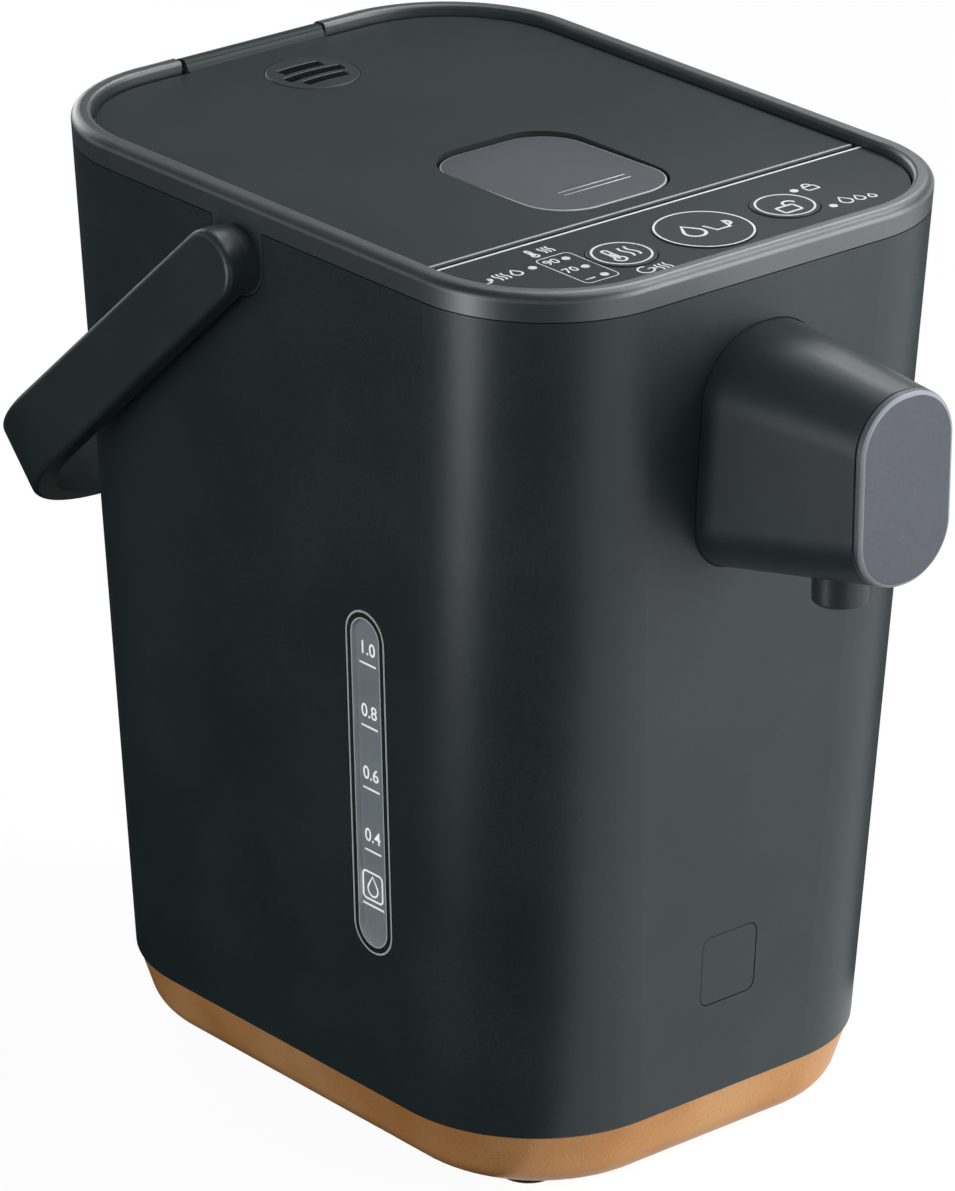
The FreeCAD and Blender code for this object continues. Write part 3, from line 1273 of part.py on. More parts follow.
def inlet_socket():
    """Moulded mains socket at the lower rear, with a recess for the magnetic plug."""
    half = INLET_WIDTH / 2
    z0 = INLET_Z - INLET_HEIGHT / 2
    z1 = INLET_Z + INLET_HEIGHT / 2
    back = back_at(z0) - 0.2
    front = back - INLET_DEPTH
    socket = box(-half, half, front, back, z0, z1)
    flange_y = back_at(z0) - SHELL_WALL - 0.6
    socket = socket.fuse(box(-half - 3, half + 3, flange_y - 2.5, flange_y, z0 + 0.5, z1 + 3))
    recess = box(
        -half + INLET_WALL, half - INLET_WALL, back - INLET_RECESS, back + 1, z0 + INLET_WALL, z1 - INLET_WALL
    )
    socket = socket.cut(recess)
    for side in (-1, 1):
        start = Vector(side * INLET_PIN_SPACING / 2, front - 5, INLET_Z)
        end = Vector(side * INLET_PIN_SPACING / 2, back, INLET_Z)
        socket = socket.cut(rod(INLET_PIN_R, start, end))
    return socket


def inlet_pins():
    """Two brass contact pins."""
    back = back_at(INLET_Z - INLET_HEIGHT / 2) - 0.2
    pins = []
    for side in (-1, 1):
        x = side * INLET_PIN_SPACING / 2
        start = Vector(x, TANK_Y + STAND_R + INLET_PIN_CLEAR, INLET_Z)
        end = Vector(x, back - INLET_RECESS + INLET_PIN_LENGTH, INLET_Z)
        pin = rod(INLET_PIN_R - 0.02, start, end)
        pins.append(pin)
    return Part.makeCompound(pins)


def inlet_plate():
    """Steel plate in the recess that holds the plug's magnet."""
    half = INLET_WIDTH / 2 - INLET_WALL - 0.2
    half_h = INLET_HEIGHT / 2 - INLET_WALL - 0.2
    back = back_at(INLET_Z - INLET_HEIGHT / 2) - 0.2 - INLET_RECESS
    plate = box(-half, half, back + 0.02, back + 1.2, INLET_Z - half_h, INLET_Z + half_h)
    for side in (-1, 1):
        x = side * INLET_PIN_SPACING / 2
        plate = plate.cut(rod(INLET_PIN_R + 1.2, Vector(x, back - 1, INLET_Z), Vector(x, back + 3, INLET_Z)))
    return plate


# Handle

def handle():
    """Carry handle: a flat strip bent to a U, wider at the grip, with round ends at the pivots.
    It is drawn lying back, then turned down to its rest."""
    half = HANDLE_HALF
    reach = HANDLE_REACH
    r = HANDLE_CORNER
    depth = HANDLE_GRIP_WIDTH + 10
    start = -HANDLE_WIDTH / 2 - 2

    def arch(width, length, corner, z):
        w = width
        slant = corner * math.sqrt(0.5)
        edges = [
            Part.LineSegment(Vector(-w, start, z), Vector(-w, length - corner, z)).toShape(),
            Part.Arc(
                Vector(-w, length - corner, z),
                Vector(-w + corner - slant, length - corner + slant, z),
                Vector(-w + corner, length, z),
            ).toShape(),
            Part.LineSegment(Vector(-w + corner, length, z), Vector(w - corner, length, z)).toShape(),
            Part.Arc(
                Vector(w - corner, length, z),
                Vector(w - corner + slant, length - corner + slant, z),
                Vector(w, length - corner, z),
            ).toShape(),
            Part.LineSegment(Vector(w, length - corner, z), Vector(w, start, z)).toShape(),
            Part.LineSegment(Vector(w, start, z), Vector(-w, start, z)).toShape(),
        ]
        return Part.Face(Part.Wire(edges)).extrude(Vector(0, 0, depth))

    bow = arch(half, reach, r, -depth / 2)
    bow = bow.cut(arch(half - HANDLE_THICK, reach - HANDLE_THICK, r - HANDLE_THICK, -depth / 2))
    narrow = HANDLE_WIDTH / 2
    wide = HANDLE_GRIP_WIDTH / 2
    side = [
        Part.LineSegment(Vector(0, 0, narrow), Vector(0, reach + 5, wide)).toShape(),
        Part.LineSegment(Vector(0, reach + 5, wide), Vector(0, reach + 5, -wide)).toShape(),
        Part.LineSegment(Vector(0, reach + 5, -wide), Vector(0, 0, -narrow)).toShape(),
        Part.Arc(Vector(0, 0, -narrow), Vector(0, -narrow, 0), Vector(0, 0, narrow)).toShape(),
    ]
    profile = Part.Face(Part.Wire(side)).extrude(Vector(2 * WIDTH_TOP, 0, 0))
    profile.translate(Vector(-WIDTH_TOP, 0, 0))
    strip = bow.common(profile)
    strip = strip.makeFillet(HANDLE_EDGE, outer_strip_edges(strip))
    for sign in (-1, 1):
        start_x = sign * (half - HANDLE_PIN_SUNK)
        end_x = sign * (half - HANDLE_THICK - 0.5)
        strip = strip.cut(cross_rod(HANDLE_PIN_R, start_x, end_x, 0, 0))
    strip.rotate(Vector(0, 0, 0), X_AXIS, -HANDLE_ANGLE)
    strip.translate(Vector(0, PIVOT_Y, PIVOT_Z))
    return strip


def outer_strip_edges(strip):
    """Edges round the outer face of the handle's strip."""
    found = []
    inner = HANDLE_HALF - HANDLE_THICK / 2
    for edge in strip.Edges:
        middle = edge.valueAt((edge.FirstParameter + edge.LastParameter) / 2)
        on_arm = abs(middle.x) > inner and middle.y < HANDLE_REACH - HANDLE_CORNER + 0.1
        corner = Vector(
            math.copysign(HANDLE_HALF - HANDLE_CORNER, middle.x), HANDLE_REACH - HANDLE_CORNER, middle.z
        )
        in_corner = abs(middle.x) > abs(corner.x) and middle.y > corner.y
        on_bend = in_corner and (middle - corner).Length > HANDLE_CORNER - HANDLE_THICK / 2
        on_grip = middle.y > HANDLE_REACH - HANDLE_THICK / 2
        if (on_arm or on_bend or on_grip) and abs(middle.z) > 0.1:
            bounds = edge.BoundBox
            level = bounds.ZMax - bounds.ZMin < HANDLE_GRIP_WIDTH * 0.6
            if level:
                found.append(edge)
        elif on_arm and middle.y < 0:
            found.append(edge)
    return found


def handle_pins():
    """Headed pivot pins, fixed in the handle's arms and turning in the bosses."""
    pins = []
    tip = half_width_at(PIVOT_Z - HANDLE_PIN_HEAD, SHELL_WALL + FIT + SKIRT_WALL) - 0.25
    for side in (-1, 1):
        shaft = cross_rod(HANDLE_PIN_R, side * (HANDLE_HALF - HANDLE_PIN_SUNK), side * tip, PIVOT_Y, PIVOT_Z)
        head = cross_rod(
            HANDLE_PIN_HEAD, side * tip, side * (tip - HANDLE_PIN_HEAD_THICK), PIVOT_Y, PIVOT_Z
        )
        pins.append(shaft.fuse(head))
    return Part.makeCompound(pins)


PIECES = (
    outer_shell,
    base_ring,
    bottom_plate,
    rubber_feet,
    bottom_screws,
    shoulder_ring,
    mouth_ring,
    inner_tank,
    tank_seal,
    insulation_sleeve,
    tank_stand,
    heater_plate,
    heater_strap,
    thermostat,
    thermal_fuse,
    pump_housing,
    pump_impeller,
    pump_motor,
    suction_hose,
    riser_hose,
    level_tube,
    delivery_hose,
    spout_housing,
    spout_face,
    spout_nozzle,
    spout_pipe,
    gauge_bezel,
    gauge_window,
    gauge_backing,
    badge_plate,
    control_panel,
    control_board,
    tact_switches,
    led_lenses,
    keep_warm_button,
    dispense_button,
    unlock_button,
    lid_cover,
    lid_body,
    lid_screws,
    inner_lid,
    lid_gasket,
    steam_vent_cap,
    steam_duct,
    steam_valve_ball,
    hinge_pin,
    lid_lever,
    lever_pin,
    lid_latch,
    latch_spring,
    power_board,
    inlet_socket,
    inlet_pins,
    inlet_plate,
    handle,
    handle_pins,
)


def main():
    os.makedirs("parts", exist_ok=True)
    for make in PIECES:
        shape = make()
        name = make.__name__
        shape.exportStep(os.path.join("parts", name + ".step"))
        print(name, len(shape.Solids), "solids", round(shape.Volume), "mm3", "valid", shape.isValid())


main()
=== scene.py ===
import bmesh
import bpy
import math
from mathutils import Matrix, Vector


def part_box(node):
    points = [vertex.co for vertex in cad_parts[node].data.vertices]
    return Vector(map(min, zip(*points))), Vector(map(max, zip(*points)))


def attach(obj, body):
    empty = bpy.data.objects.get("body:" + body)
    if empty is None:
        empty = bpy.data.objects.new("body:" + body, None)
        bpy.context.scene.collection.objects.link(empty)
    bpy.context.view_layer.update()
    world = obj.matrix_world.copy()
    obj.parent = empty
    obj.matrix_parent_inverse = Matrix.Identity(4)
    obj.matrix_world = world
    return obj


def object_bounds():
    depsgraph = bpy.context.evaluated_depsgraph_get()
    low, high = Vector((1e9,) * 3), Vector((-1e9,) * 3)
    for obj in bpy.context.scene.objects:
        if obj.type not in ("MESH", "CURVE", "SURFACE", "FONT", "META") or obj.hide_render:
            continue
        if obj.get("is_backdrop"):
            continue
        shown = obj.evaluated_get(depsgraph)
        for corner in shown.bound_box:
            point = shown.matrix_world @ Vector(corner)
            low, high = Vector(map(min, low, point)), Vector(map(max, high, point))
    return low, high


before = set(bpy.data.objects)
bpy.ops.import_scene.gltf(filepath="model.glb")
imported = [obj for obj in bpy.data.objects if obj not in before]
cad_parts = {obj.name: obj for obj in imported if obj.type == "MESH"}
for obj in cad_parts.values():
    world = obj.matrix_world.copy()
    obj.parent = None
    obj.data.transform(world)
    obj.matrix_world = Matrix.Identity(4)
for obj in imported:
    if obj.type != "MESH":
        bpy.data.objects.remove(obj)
cad_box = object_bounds()

# Camera
# A long lens looks down at the pot from its front left. Direction, roll and focal length are
# those of the photograph; the small shift puts the lens axis where it crosses that picture.
MM = 0.001
PHOTO_WIDTH = 955
PHOTO_HEIGHT = 1191
AXIS_PIXEL = (475.55, 612.47)
FOCAL_PIXELS = 7014.7
SENSOR_MM = 36.0
VIEW_AZIMUTH = math.radians(-40.74)
VIEW_ELEVATION = math.radians(23.258)
VIEW_ROLL = math.radians(0.431)
VIEW_DISTANCE = 1.8004
VIEW_TARGET = Vector((0, 6.16 * MM, 117.43 * MM))


def frame_matrix(place, right, up):
    """Matrix of a frame at a place, from its right and up directions."""
    out = right.cross(up)
    return Matrix.Translation(place) @ Matrix((right, up, out)).transposed().to_4x4()


back = Vector((
    math.sin(VIEW_AZIMUTH) * math.cos(VIEW_ELEVATION),
    -math.cos(VIEW_AZIMUTH) * math.cos(VIEW_ELEVATION),
    math.sin(VIEW_ELEVATION),
))
level = Vector((0, 0, 1)).cross(back).normalized()
right = Matrix.Rotation(VIEW_ROLL, 3, back) @ level
lens = bpy.data.cameras.new("camera")
lens.sensor_fit = "VERTICAL"
lens.sensor_height = SENSOR_MM
lens.lens = FOCAL_PIXELS / PHOTO_HEIGHT * SENSOR_MM
lens.shift_x = (PHOTO_WIDTH / 2 - AXIS_PIXEL[0]) / PHOTO_HEIGHT
lens.shift_y = (AXIS_PIXEL[1] - PHOTO_HEIGHT / 2) / PHOTO_HEIGHT
camera = bpy.data.objects.new("camera", lens)
camera.matrix_world = frame_matrix(VIEW_TARGET + back * VIEW_DISTANCE, right, back.cross(right))
bpy.context.scene.collection.objects.link(camera)
bpy.context.scene.camera = camera
bpy.context.scene.view_settings.view_transform = "Standard"


# Floor, backdrop and lamps
# A white studio table runs out to a white horizon under a dim ceiling. The main soft box stands
# close at the front right, weaker ones above, behind and at the left fill in the rest, and a
# narrow strip at the left picks out the rounded corner.
def linear(code):
    """Linear colour of an sRGB hex value."""
    channels = [int(code[i:i + 2], 16) / 255 for i in (1, 3, 5)]
    return [c / 12.92 if c <= 0.04045 else ((c + 0.055) / 1.055) ** 2.4 for c in channels] + [1.0]


def add(tree, kind, inputs=None, **settings):
    """Adds a node, with its settings, and sets or links its inputs."""
    made = tree.nodes.new(kind)
    for name, value in settings.items():
        setattr(made, name, value)
    for name, value in (inputs or {}).items():
        if isinstance(value, bpy.types.NodeSocket):
            tree.links.new(value, made.inputs[name])
        else:
            made.inputs[name].default_value = value
    return made


def new_material(name):
    """Empty material and its node tree."""
    made = bpy.data.materials.new(name)
    made.use_nodes = True
    made.node_tree.nodes.clear()
    return made, made.node_tree


def new_piece(name, shape, material):
    """Object at the origin from a bmesh, with its material."""
    mesh = bpy.data.meshes.new(name)
    shape.to_mesh(mesh)
    shape.free()
    mesh.materials.append(material)
    piece = bpy.data.objects.new(name, mesh)
    bpy.context.scene.collection.objects.link(piece)
    return piece


FLOOR_SIZE = 12.0
FLOOR_COLOUR = "#626262"
FLOOR_GLOW = 0.95
SKY_WHITE = 1.0
SKY_DIM = 0.09
SKY_WHITE_BELOW = math.sin(math.radians(2))
SKY_DIM_ABOVE = math.sin(math.radians(9))

# The table looks white to the camera, in reflections and through glass. To all other rays it is
# plain grey, so it keeps the pot's shadow and throws little light back up the walls.
material, tree = new_material("white_studio_table")
rays = add(tree, "ShaderNodeLightPath").outputs
shine = add(
    tree, "ShaderNodeMath", {0: rays["Is Camera Ray"], 1: rays["Is Glossy Ray"]},
    operation="MAXIMUM",
)
seen = add(
    tree, "ShaderNodeMath", {0: shine.outputs[0], 1: rays["Is Transmission Ray"]},
    operation="MAXIMUM",
)
lift = add(tree, "ShaderNodeMath", {0: seen.outputs[0], 1: FLOOR_GLOW}, operation="MULTIPLY")
paint = add(tree, "ShaderNodeBsdfDiffuse", {"Color": linear(FLOOR_COLOUR)})
glow = add(tree, "ShaderNodeEmission", {"Color": (1, 1, 1, 1), "Strength": lift.outputs[0]})
both = add(tree, "ShaderNodeAddShader", {0: paint.outputs[0], 1: glow.outputs[0]})
add(tree, "ShaderNodeOutputMaterial", {"Surface": both.outputs[0]})
shape = bmesh.new()
bmesh.ops.create_grid(shape, x_segments=4, y_segments=4, size=FLOOR_SIZE / 2)
new_piece("floor", shape, material)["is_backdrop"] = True

# The room is white at the horizon and dim above it, so a face that mirrors the ceiling stays dark.
world = bpy.data.worlds.new("studio")
world.use_nodes = True
tree = world.node_tree
tree.nodes.clear()
place = add(tree, "ShaderNodeTexCoord")
parts = add(tree, "ShaderNodeSeparateXYZ", {0: place.outputs["Generated"]})
height = add(
    tree, "ShaderNodeMapRange",
    {
        "Value": parts.outputs["Z"], "From Min": SKY_WHITE_BELOW, "From Max": SKY_DIM_ABOVE,
        "To Min": SKY_WHITE, "To Max": SKY_DIM,
    },
    interpolation_type="SMOOTHSTEP",
)
sky = add(tree, "ShaderNodeBackground", {"Color": (1, 1, 1, 1), "Strength": height.outputs[0]})
add(tree, "ShaderNodeOutputWorld", {"Surface": sky.outputs[0]})
bpy.context.scene.world = world


def soft_box(name, place, aim, width, height, strength):
    """Rectangular lamp. A matt white card at its aim would look as bright as its strength says."""
    lamp = bpy.data.lights.new(name, "AREA")
    lamp.shape = "RECTANGLE"
    lamp.size = width
    lamp.size_y = height
    away = Vector(place) - Vector(aim)
    lamp.energy = strength * math.pi ** 2 * away.length_squared
    side = Vector((0, 0, 1)).cross(away).normalized()
    box = bpy.data.objects.new(name, lamp)
    box.matrix_world = frame_matrix(Vector(place), side, away.cross(side).normalized())
    box.visible_camera = False
    bpy.context.scene.collection.objects.link(box)
    return box


POT_MIDDLE = (0, -0.03, 0.14)
SPOUT = (0, -0.13, 0.20)
LEFT_CORNER = (-0.07, -0.08, 0.14)
soft_box("main_box", (0.66, -0.90, 0.30), POT_MIDDLE, width=0.90, height=0.66, strength=0.80)
soft_box("high_box", (0.66, -0.45, 0.92), POT_MIDDLE, width=0.34, height=0.34, strength=0.20)
soft_box("overhead_box", (0.45, -0.10, 1.00), POT_MIDDLE, width=1.3, height=1.0, strength=0.80)
spout_box = soft_box("spout_box", (0.54, 0.31, 0.78), SPOUT, width=0.28, height=0.28, strength=0.16)
spout_box.visible_diffuse = False
soft_box("rear_box", (0.18, 1.20, 0.50), POT_MIDDLE, width=0.7, height=0.5, strength=0.25)
left_fill = soft_box(
    "left_fill", (-1.10, -0.20, 0.45), POT_MIDDLE, width=1.0, height=0.8, strength=0.42,
)
left_fill.visible_glossy = False
left_strip = soft_box(
    "left_strip", (-0.47, -0.015, 0.08), LEFT_CORNER, width=0.07, height=0.30, strength=0.52,
)
left_strip.visible_diffuse = False

# Sheets of black paper lie on the table to the left of the pot, behind it and to its right. The
# camera doesn't see them. The walls on those sides mirror them and so stay dark.
BLACK_PAPER = "#1c1d1d"
PAPER_HEIGHT = 0.001
PAPERS = (
    # name, size, middle of the right edge, turn in degrees
    ("left_paper", (1.4, 2.6), (-0.058, -0.085), -10),
    ("rear_paper", (0.9, 1.2), (0.8, 0.72), 0),
    ("right_paper", (0.8, 0.6), (0.9, 0.22), 0),
)
material, tree = new_material("black_paper")
paper = add(tree, "ShaderNodeBsdfDiffuse", {"Color": linear(BLACK_PAPER)})
add(tree, "ShaderNodeOutputMaterial", {"Surface": paper.outputs[0]})
for name, size, edge, turn in PAPERS:
    shape = bmesh.new()
    bmesh.ops.create_grid(shape, x_segments=1, y_segments=1, size=0.5)
    bmesh.ops.scale(shape, vec=(*size, 1), verts=shape.verts)
    bmesh.ops.translate(shape, vec=(-size[0] / 2, 0, 0), verts=shape.verts)
    bmesh.ops.rotate(shape, matrix=Matrix.Rotation(math.radians(turn), 3, "Z"), verts=shape.verts)
    bmesh.ops.translate(shape, vec=(*edge, PAPER_HEIGHT), verts=shape.verts)
    sheet = new_piece(name, shape, material)
    sheet.visible_camera = False
    sheet.visible_shadow = False
    sheet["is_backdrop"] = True

# Feet, bottom plate and screws
# The pot stands on four soft rubber pads pressed into a black moulded bottom plate, which is held
# by zinc-plated screws. Eroded mould walls leave the plastic a dull even grain.

# A surface's tone also drifts in clouds, each this many grains wide.
CLOUD_GRAINS = 60
TONE_LOW = 0.12
TONE_HIGH = 0.40


def satin(name, colours, grain, relief, roughness, spread, shine, metal=0.0):
    """Satin surface: two close tones and a roughness that follow a fine grain, with its relief."""
    material, tree = new_material(name)
    place = add(tree, "ShaderNodeTexCoord").outputs["Object"]
    fine = add(
        tree, "ShaderNodeTexNoise",
        {"Vector": place, "Scale": 1 / grain, "Detail": 3.0, "Roughness": 0.6},
    )
    clouds = add(
        tree, "ShaderNodeTexNoise",
        {"Vector": place, "Scale": 1 / (CLOUD_GRAINS * grain), "Detail": 2.0},
    )
    tone = add(
        tree, "ShaderNodeMath", {0: fine.outputs["Fac"], 1: clouds.outputs["Fac"]},
        operation="MULTIPLY",
    )
    share = add(
        tree, "ShaderNodeMapRange",
        {"Value": tone.outputs[0], "From Min": TONE_LOW, "From Max": TONE_HIGH},
    )
    tint = add(
        tree, "ShaderNodeMix",
        {"Factor": share.outputs[0], "A": linear(colours[0]), "B": linear(colours[1])},
        data_type="RGBA",
    )
    rough = add(
        tree, "ShaderNodeMapRange",
        {
            "Value": fine.outputs["Fac"], "From Min": 0.3, "From Max": 0.7,
            "To Min": roughness - spread, "To Max": roughness + spread,
        },
    )
    bump = add(
        tree, "ShaderNodeBump",
        {"Height": fine.outputs["Fac"], "Distance": relief, "Strength": 1.0},
    )
    coat = add(
        tree, "ShaderNodeBsdfPrincipled",
        {
            "Base Color": tint.outputs["Result"], "Roughness": rough.outputs[0],
            "Normal": bump.outputs[0], "Metallic": metal, "Specular IOR Level": shine,
        },
    )
    add(tree, "ShaderNodeOutputMaterial", {"Surface": coat.outputs[0]})
    return material


def dress(material, *names):
    """Gives CAD nodes their material."""
    for name in names:
        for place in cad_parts[name].material_slots:
            place.material = material


# Eroded polypropylene is matt, with a grain like fine sand.
black_moulding = satin(
    "eroded_black_polypropylene", ("#17191a", "#1f2122"),
    grain=0.6 * MM, relief=0.02 * MM, roughness=0.55, spread=0.06, shine=0.4,
)
# Zinc plating is bright and a little milky.
zinc = satin(
    "zinc_plated_steel", ("#b4b8ba", "#c9ccce"),
    grain=0.4 * MM, relief=0.006 * MM, roughness=0.32, spread=0.06, shine=0.5, metal=1.0,
)
dress(black_moulding, "bottom_plate")
# Rubber is black and hardly shines at all.
soft_black_rubber = satin(
    "soft_black_rubber", ("#121212", "#1b1b1a"),
    grain=0.7 * MM, relief=0.03 * MM, roughness=0.80, spread=0.05, shine=0.3,
)
dress(soft_black_rubber, "rubber_feet")
dress(zinc, "bottom_screws")

# Foot band
# A moulded band round the foot is sprayed with copper-coloured metallic paint. Its flakes
# sparkle faintly and make the colour a little uneven from speck to speck.

# Paint with flakes in it has a warm, soft shine without a hard mirror.
copper_paint = satin(
    "copper_metallic_paint", ("#d08d50", "#ebb379"),
    grain=0.45 * MM, relief=0.016 * MM, roughness=0.42, spread=0.10, shine=0.35, metal=0.10,
)
dress(copper_paint, "base_ring")

# Tank, stand and insulation
# The water tank is drawn from stainless sheet, with fine rings from the press tool. It stands on
# a heat-proof moulding, is wrapped in needled white felt and closed by a silicone seal.
RING_STRETCH = (0.04, 0.04, 1.0)
RING_RELIEF = 0.01 * MM


def brushed(name, colours, line, roughness, spread):
    """Drawn or brushed metal: thin rings round the upright axis vary its tone and roughness."""
    material, tree = new_material(name)
    place = add(tree, "ShaderNodeTexCoord").outputs["Object"]
    drawn = add(tree, "ShaderNodeMapping", {"Vector": place, "Scale": RING_STRETCH})
    fine = add(
        tree, "ShaderNodeTexNoise",
        {"Vector": drawn.outputs[0], "Scale": 1 / line, "Detail": 4.0},
    )
    tint = add(
        tree, "ShaderNodeMix",
        {"Factor": fine.outputs["Fac"], "A": linear(colours[0]), "B": linear(colours[1])},
        data_type="RGBA",
    )
    rough = add(
        tree, "ShaderNodeMapRange",
        {"Value": fine.outputs["Fac"], "To Min": roughness - spread, "To Max": roughness + spread},
    )
    bump = add(
        tree, "ShaderNodeBump",
        {"Height": fine.outputs["Fac"], "Distance": RING_RELIEF, "Strength": 1.0},
    )
    metal = add(
        tree, "ShaderNodeBsdfPrincipled",
        {
            "Base Color": tint.outputs["Result"], "Roughness": rough.outputs[0],
            "Normal": bump.outputs[0], "Metallic": 1.0,
        },
    )
    add(tree, "ShaderNodeOutputMaterial", {"Surface": metal.outputs[0]})
    return material


# Drawn stainless steel shows thin rings and a long soft reflection.
stainless = brushed(
    "drawn_stainless_steel", ("#b9b9b8", "#d6d5d3"),
    line=0.5 * MM, roughness=0.26, spread=0.06,
)
# Silicone is waxy, off-white and soft to the light.
silicone = satin(
    "moulded_white_silicone", ("#c9c9c2", "#d8d8d2"),
    grain=1.2 * MM, relief=0.01 * MM, roughness=0.48, spread=0.05, shine=0.4,
)
dress(stainless, "inner_tank")
dress(silicone, "tank_seal")
# Glass fibres leave black nylon rough and slightly grey.
glass_filled_black_nylon = satin(
    "glass_filled_black_nylon", ("#1c1c1d", "#29292a"),
    grain=0.8 * MM, relief=0.03 * MM, roughness=0.6, spread=0.06, shine=0.4,
)
dress(glass_filled_black_nylon, "tank_stand")
# Felt is quite matt, with loose fibres that make it uneven.
needled_white_felt = satin(
    "needled_white_felt", ("#b9b5aa", "#dedad0"),
    grain=1.0 * MM, relief=0.30 * MM, roughness=0.95, spread=0.04, shine=0.1,
)
dress(needled_white_felt, "insulation_sleeve")

# Heater
# An aluminium casting is strapped under the tank by a steel band. A phenolic thermostat and a
# thermal fuse in an aluminium case sit on it.

# Sand leaves cast aluminium dull and grainy.
cast_aluminium = satin(
    "sand_cast_aluminium", ("#9b9c9d", "#bcbdbe"),
    grain=0.9 * MM, relief=0.05 * MM, roughness=0.48, spread=0.10, shine=0.5, metal=1.0,
)
dress(cast_aluminium, "heater_plate", "thermal_fuse")
dress(zinc, "heater_strap")
# Phenolic resin is a dense dark brown with a dull gloss.
brown_phenolic_resin = satin(
    "brown_phenolic_resin", ("#2c1d16", "#3c291f"),
    grain=0.8 * MM, relief=0.01 * MM, roughness=0.42, spread=0.05, shine=0.5,
)
dress(brown_phenolic_resin, "thermostat")

# Pump and hoses
# A small centrifugal pump has a nylon volute, a white acetal impeller and a plated motor can.
# Milky silicone hoses join it to the tank, the level tube and the spout.

# Unpigmented nylon is cream-coloured and smooth.
natural_nylon = satin(
    "natural_nylon", ("#cfcabb", "#dedacd"),
    grain=1.0 * MM, relief=0.01 * MM, roughness=0.42, spread=0.05, shine=0.4,
)
dress(natural_nylon, "pump_housing")
# Acetal is white, slick and evenly glossy.
white_acetal = satin(
    "white_acetal", ("#dededb", "#ebebe8"),
    grain=1.0 * MM, relief=0.005 * MM, roughness=0.35, spread=0.04, shine=0.5,
)
dress(white_acetal, "pump_impeller")
dress(zinc, "pump_motor")
dress(silicone, "suction_hose", "riser_hose", "delivery_hose")
dress(black_moulding, "spout_pipe")

# Circuit boards
# Glass-cloth boards under a green solder mask, with the shadow of the copper tracks below it.
# Black switches stand under the keys.
BOARD_PITCH = 2.54 * MM
TRACK_GAP = 0.12 * BOARD_PITCH

# Green solder mask is glossy, and lighter over the gaps between the tracks.
material, tree = new_material("green_solder_mask_on_glass_cloth")
place = add(tree, "ShaderNodeTexCoord").outputs["Object"]
tracks = add(
    tree, "ShaderNodeTexBrick",
    {
        "Vector": place, "Color1": linear("#1a5a30"), "Color2": linear("#174f2b"),
        "Mortar": linear("#2f7a45"), "Scale": 1.0, "Mortar Size": TRACK_GAP,
        "Brick Width": 3 * BOARD_PITCH, "Row Height": BOARD_PITCH,
    },
)
mask = add(
    tree, "ShaderNodeBsdfPrincipled",
    {"Base Color": tracks.outputs["Color"], "Roughness": 0.3, "Specular IOR Level": 0.5},
)
add(tree, "ShaderNodeOutputMaterial", {"Surface": mask.outputs[0]})
dress(material, "control_board", "power_board")
dress(black_moulding, "tact_switches")

# Painted sleeve
# Deep charcoal baking paint on steel sheet, sprayed satin. The dried droplets leave a grain of
# about half a millimetre, which roughens the edge of each highlight.

# The paint mirrors the white table softly at the front, and its grain breaks that up.
body_paint = satin(
    "satin_baking_paint_on_steel", ("#202b2e", "#2c383b"),
    grain=0.55 * MM, relief=0.020 * MM, roughness=0.40, spread=0.06, shine=0.40,
)
dress(body_paint, "outer_shell", "badge_plate")

# Water gauge
# A dark glossy frame holds a smoked clear pane in front of the level tube, with a pale trough
# behind. Marks for each 0.2 litre and their numbers are printed white on the pane. The wall
# leans in by the gauge's lean for each unit of height.
GAUGE_LEAN = 0.036
PANE_TINT = 0.78
MARK_Y = (-33.1, -39.4)
MARK_Z = ((137.1, "1.0"), (120.0, "0.8"), (102.9, "0.6"), (85.7, "0.4"))
NUMBER_SIZE = 5.0
NUMBER_RISE = 4.1
MARK_LINE = 0.6
FILL_Z = 70.4
FILL_LINE = (31.5, 39.9)
FILL_BOX = (32.0, 1.6, 39.4, 9.2)
FILL_BOX_CORNER = 1.2
DROP_MIDDLE = (35.7, 4.6)
DROP_RADIUS = 1.9
DROP_TIP = 8.2
INK_THICKNESS = 0.04
INK_SWELL = 0.008


def arc(x, y, radius, start, end, steps=16):
    """Points along an arc, angles in degrees."""
    turns = [math.radians(start + (end - start) * i / steps) for i in range(steps + 1)]
    return [(x + radius * math.cos(t), y + radius * math.sin(t)) for t in turns]


def round_box(x0, y0, x1, y1, radius):
    """Points round a box with rounded corners."""
    left, low, right, high = x0 + radius, y0 + radius, x1 - radius, y1 - radius
    return (
        arc(right, high, radius, 0, 90, 5) + arc(left, high, radius, 90, 180, 5)
        + arc(left, low, radius, 180, 270, 5) + arc(right, low, radius, 270, 360, 5)
    )


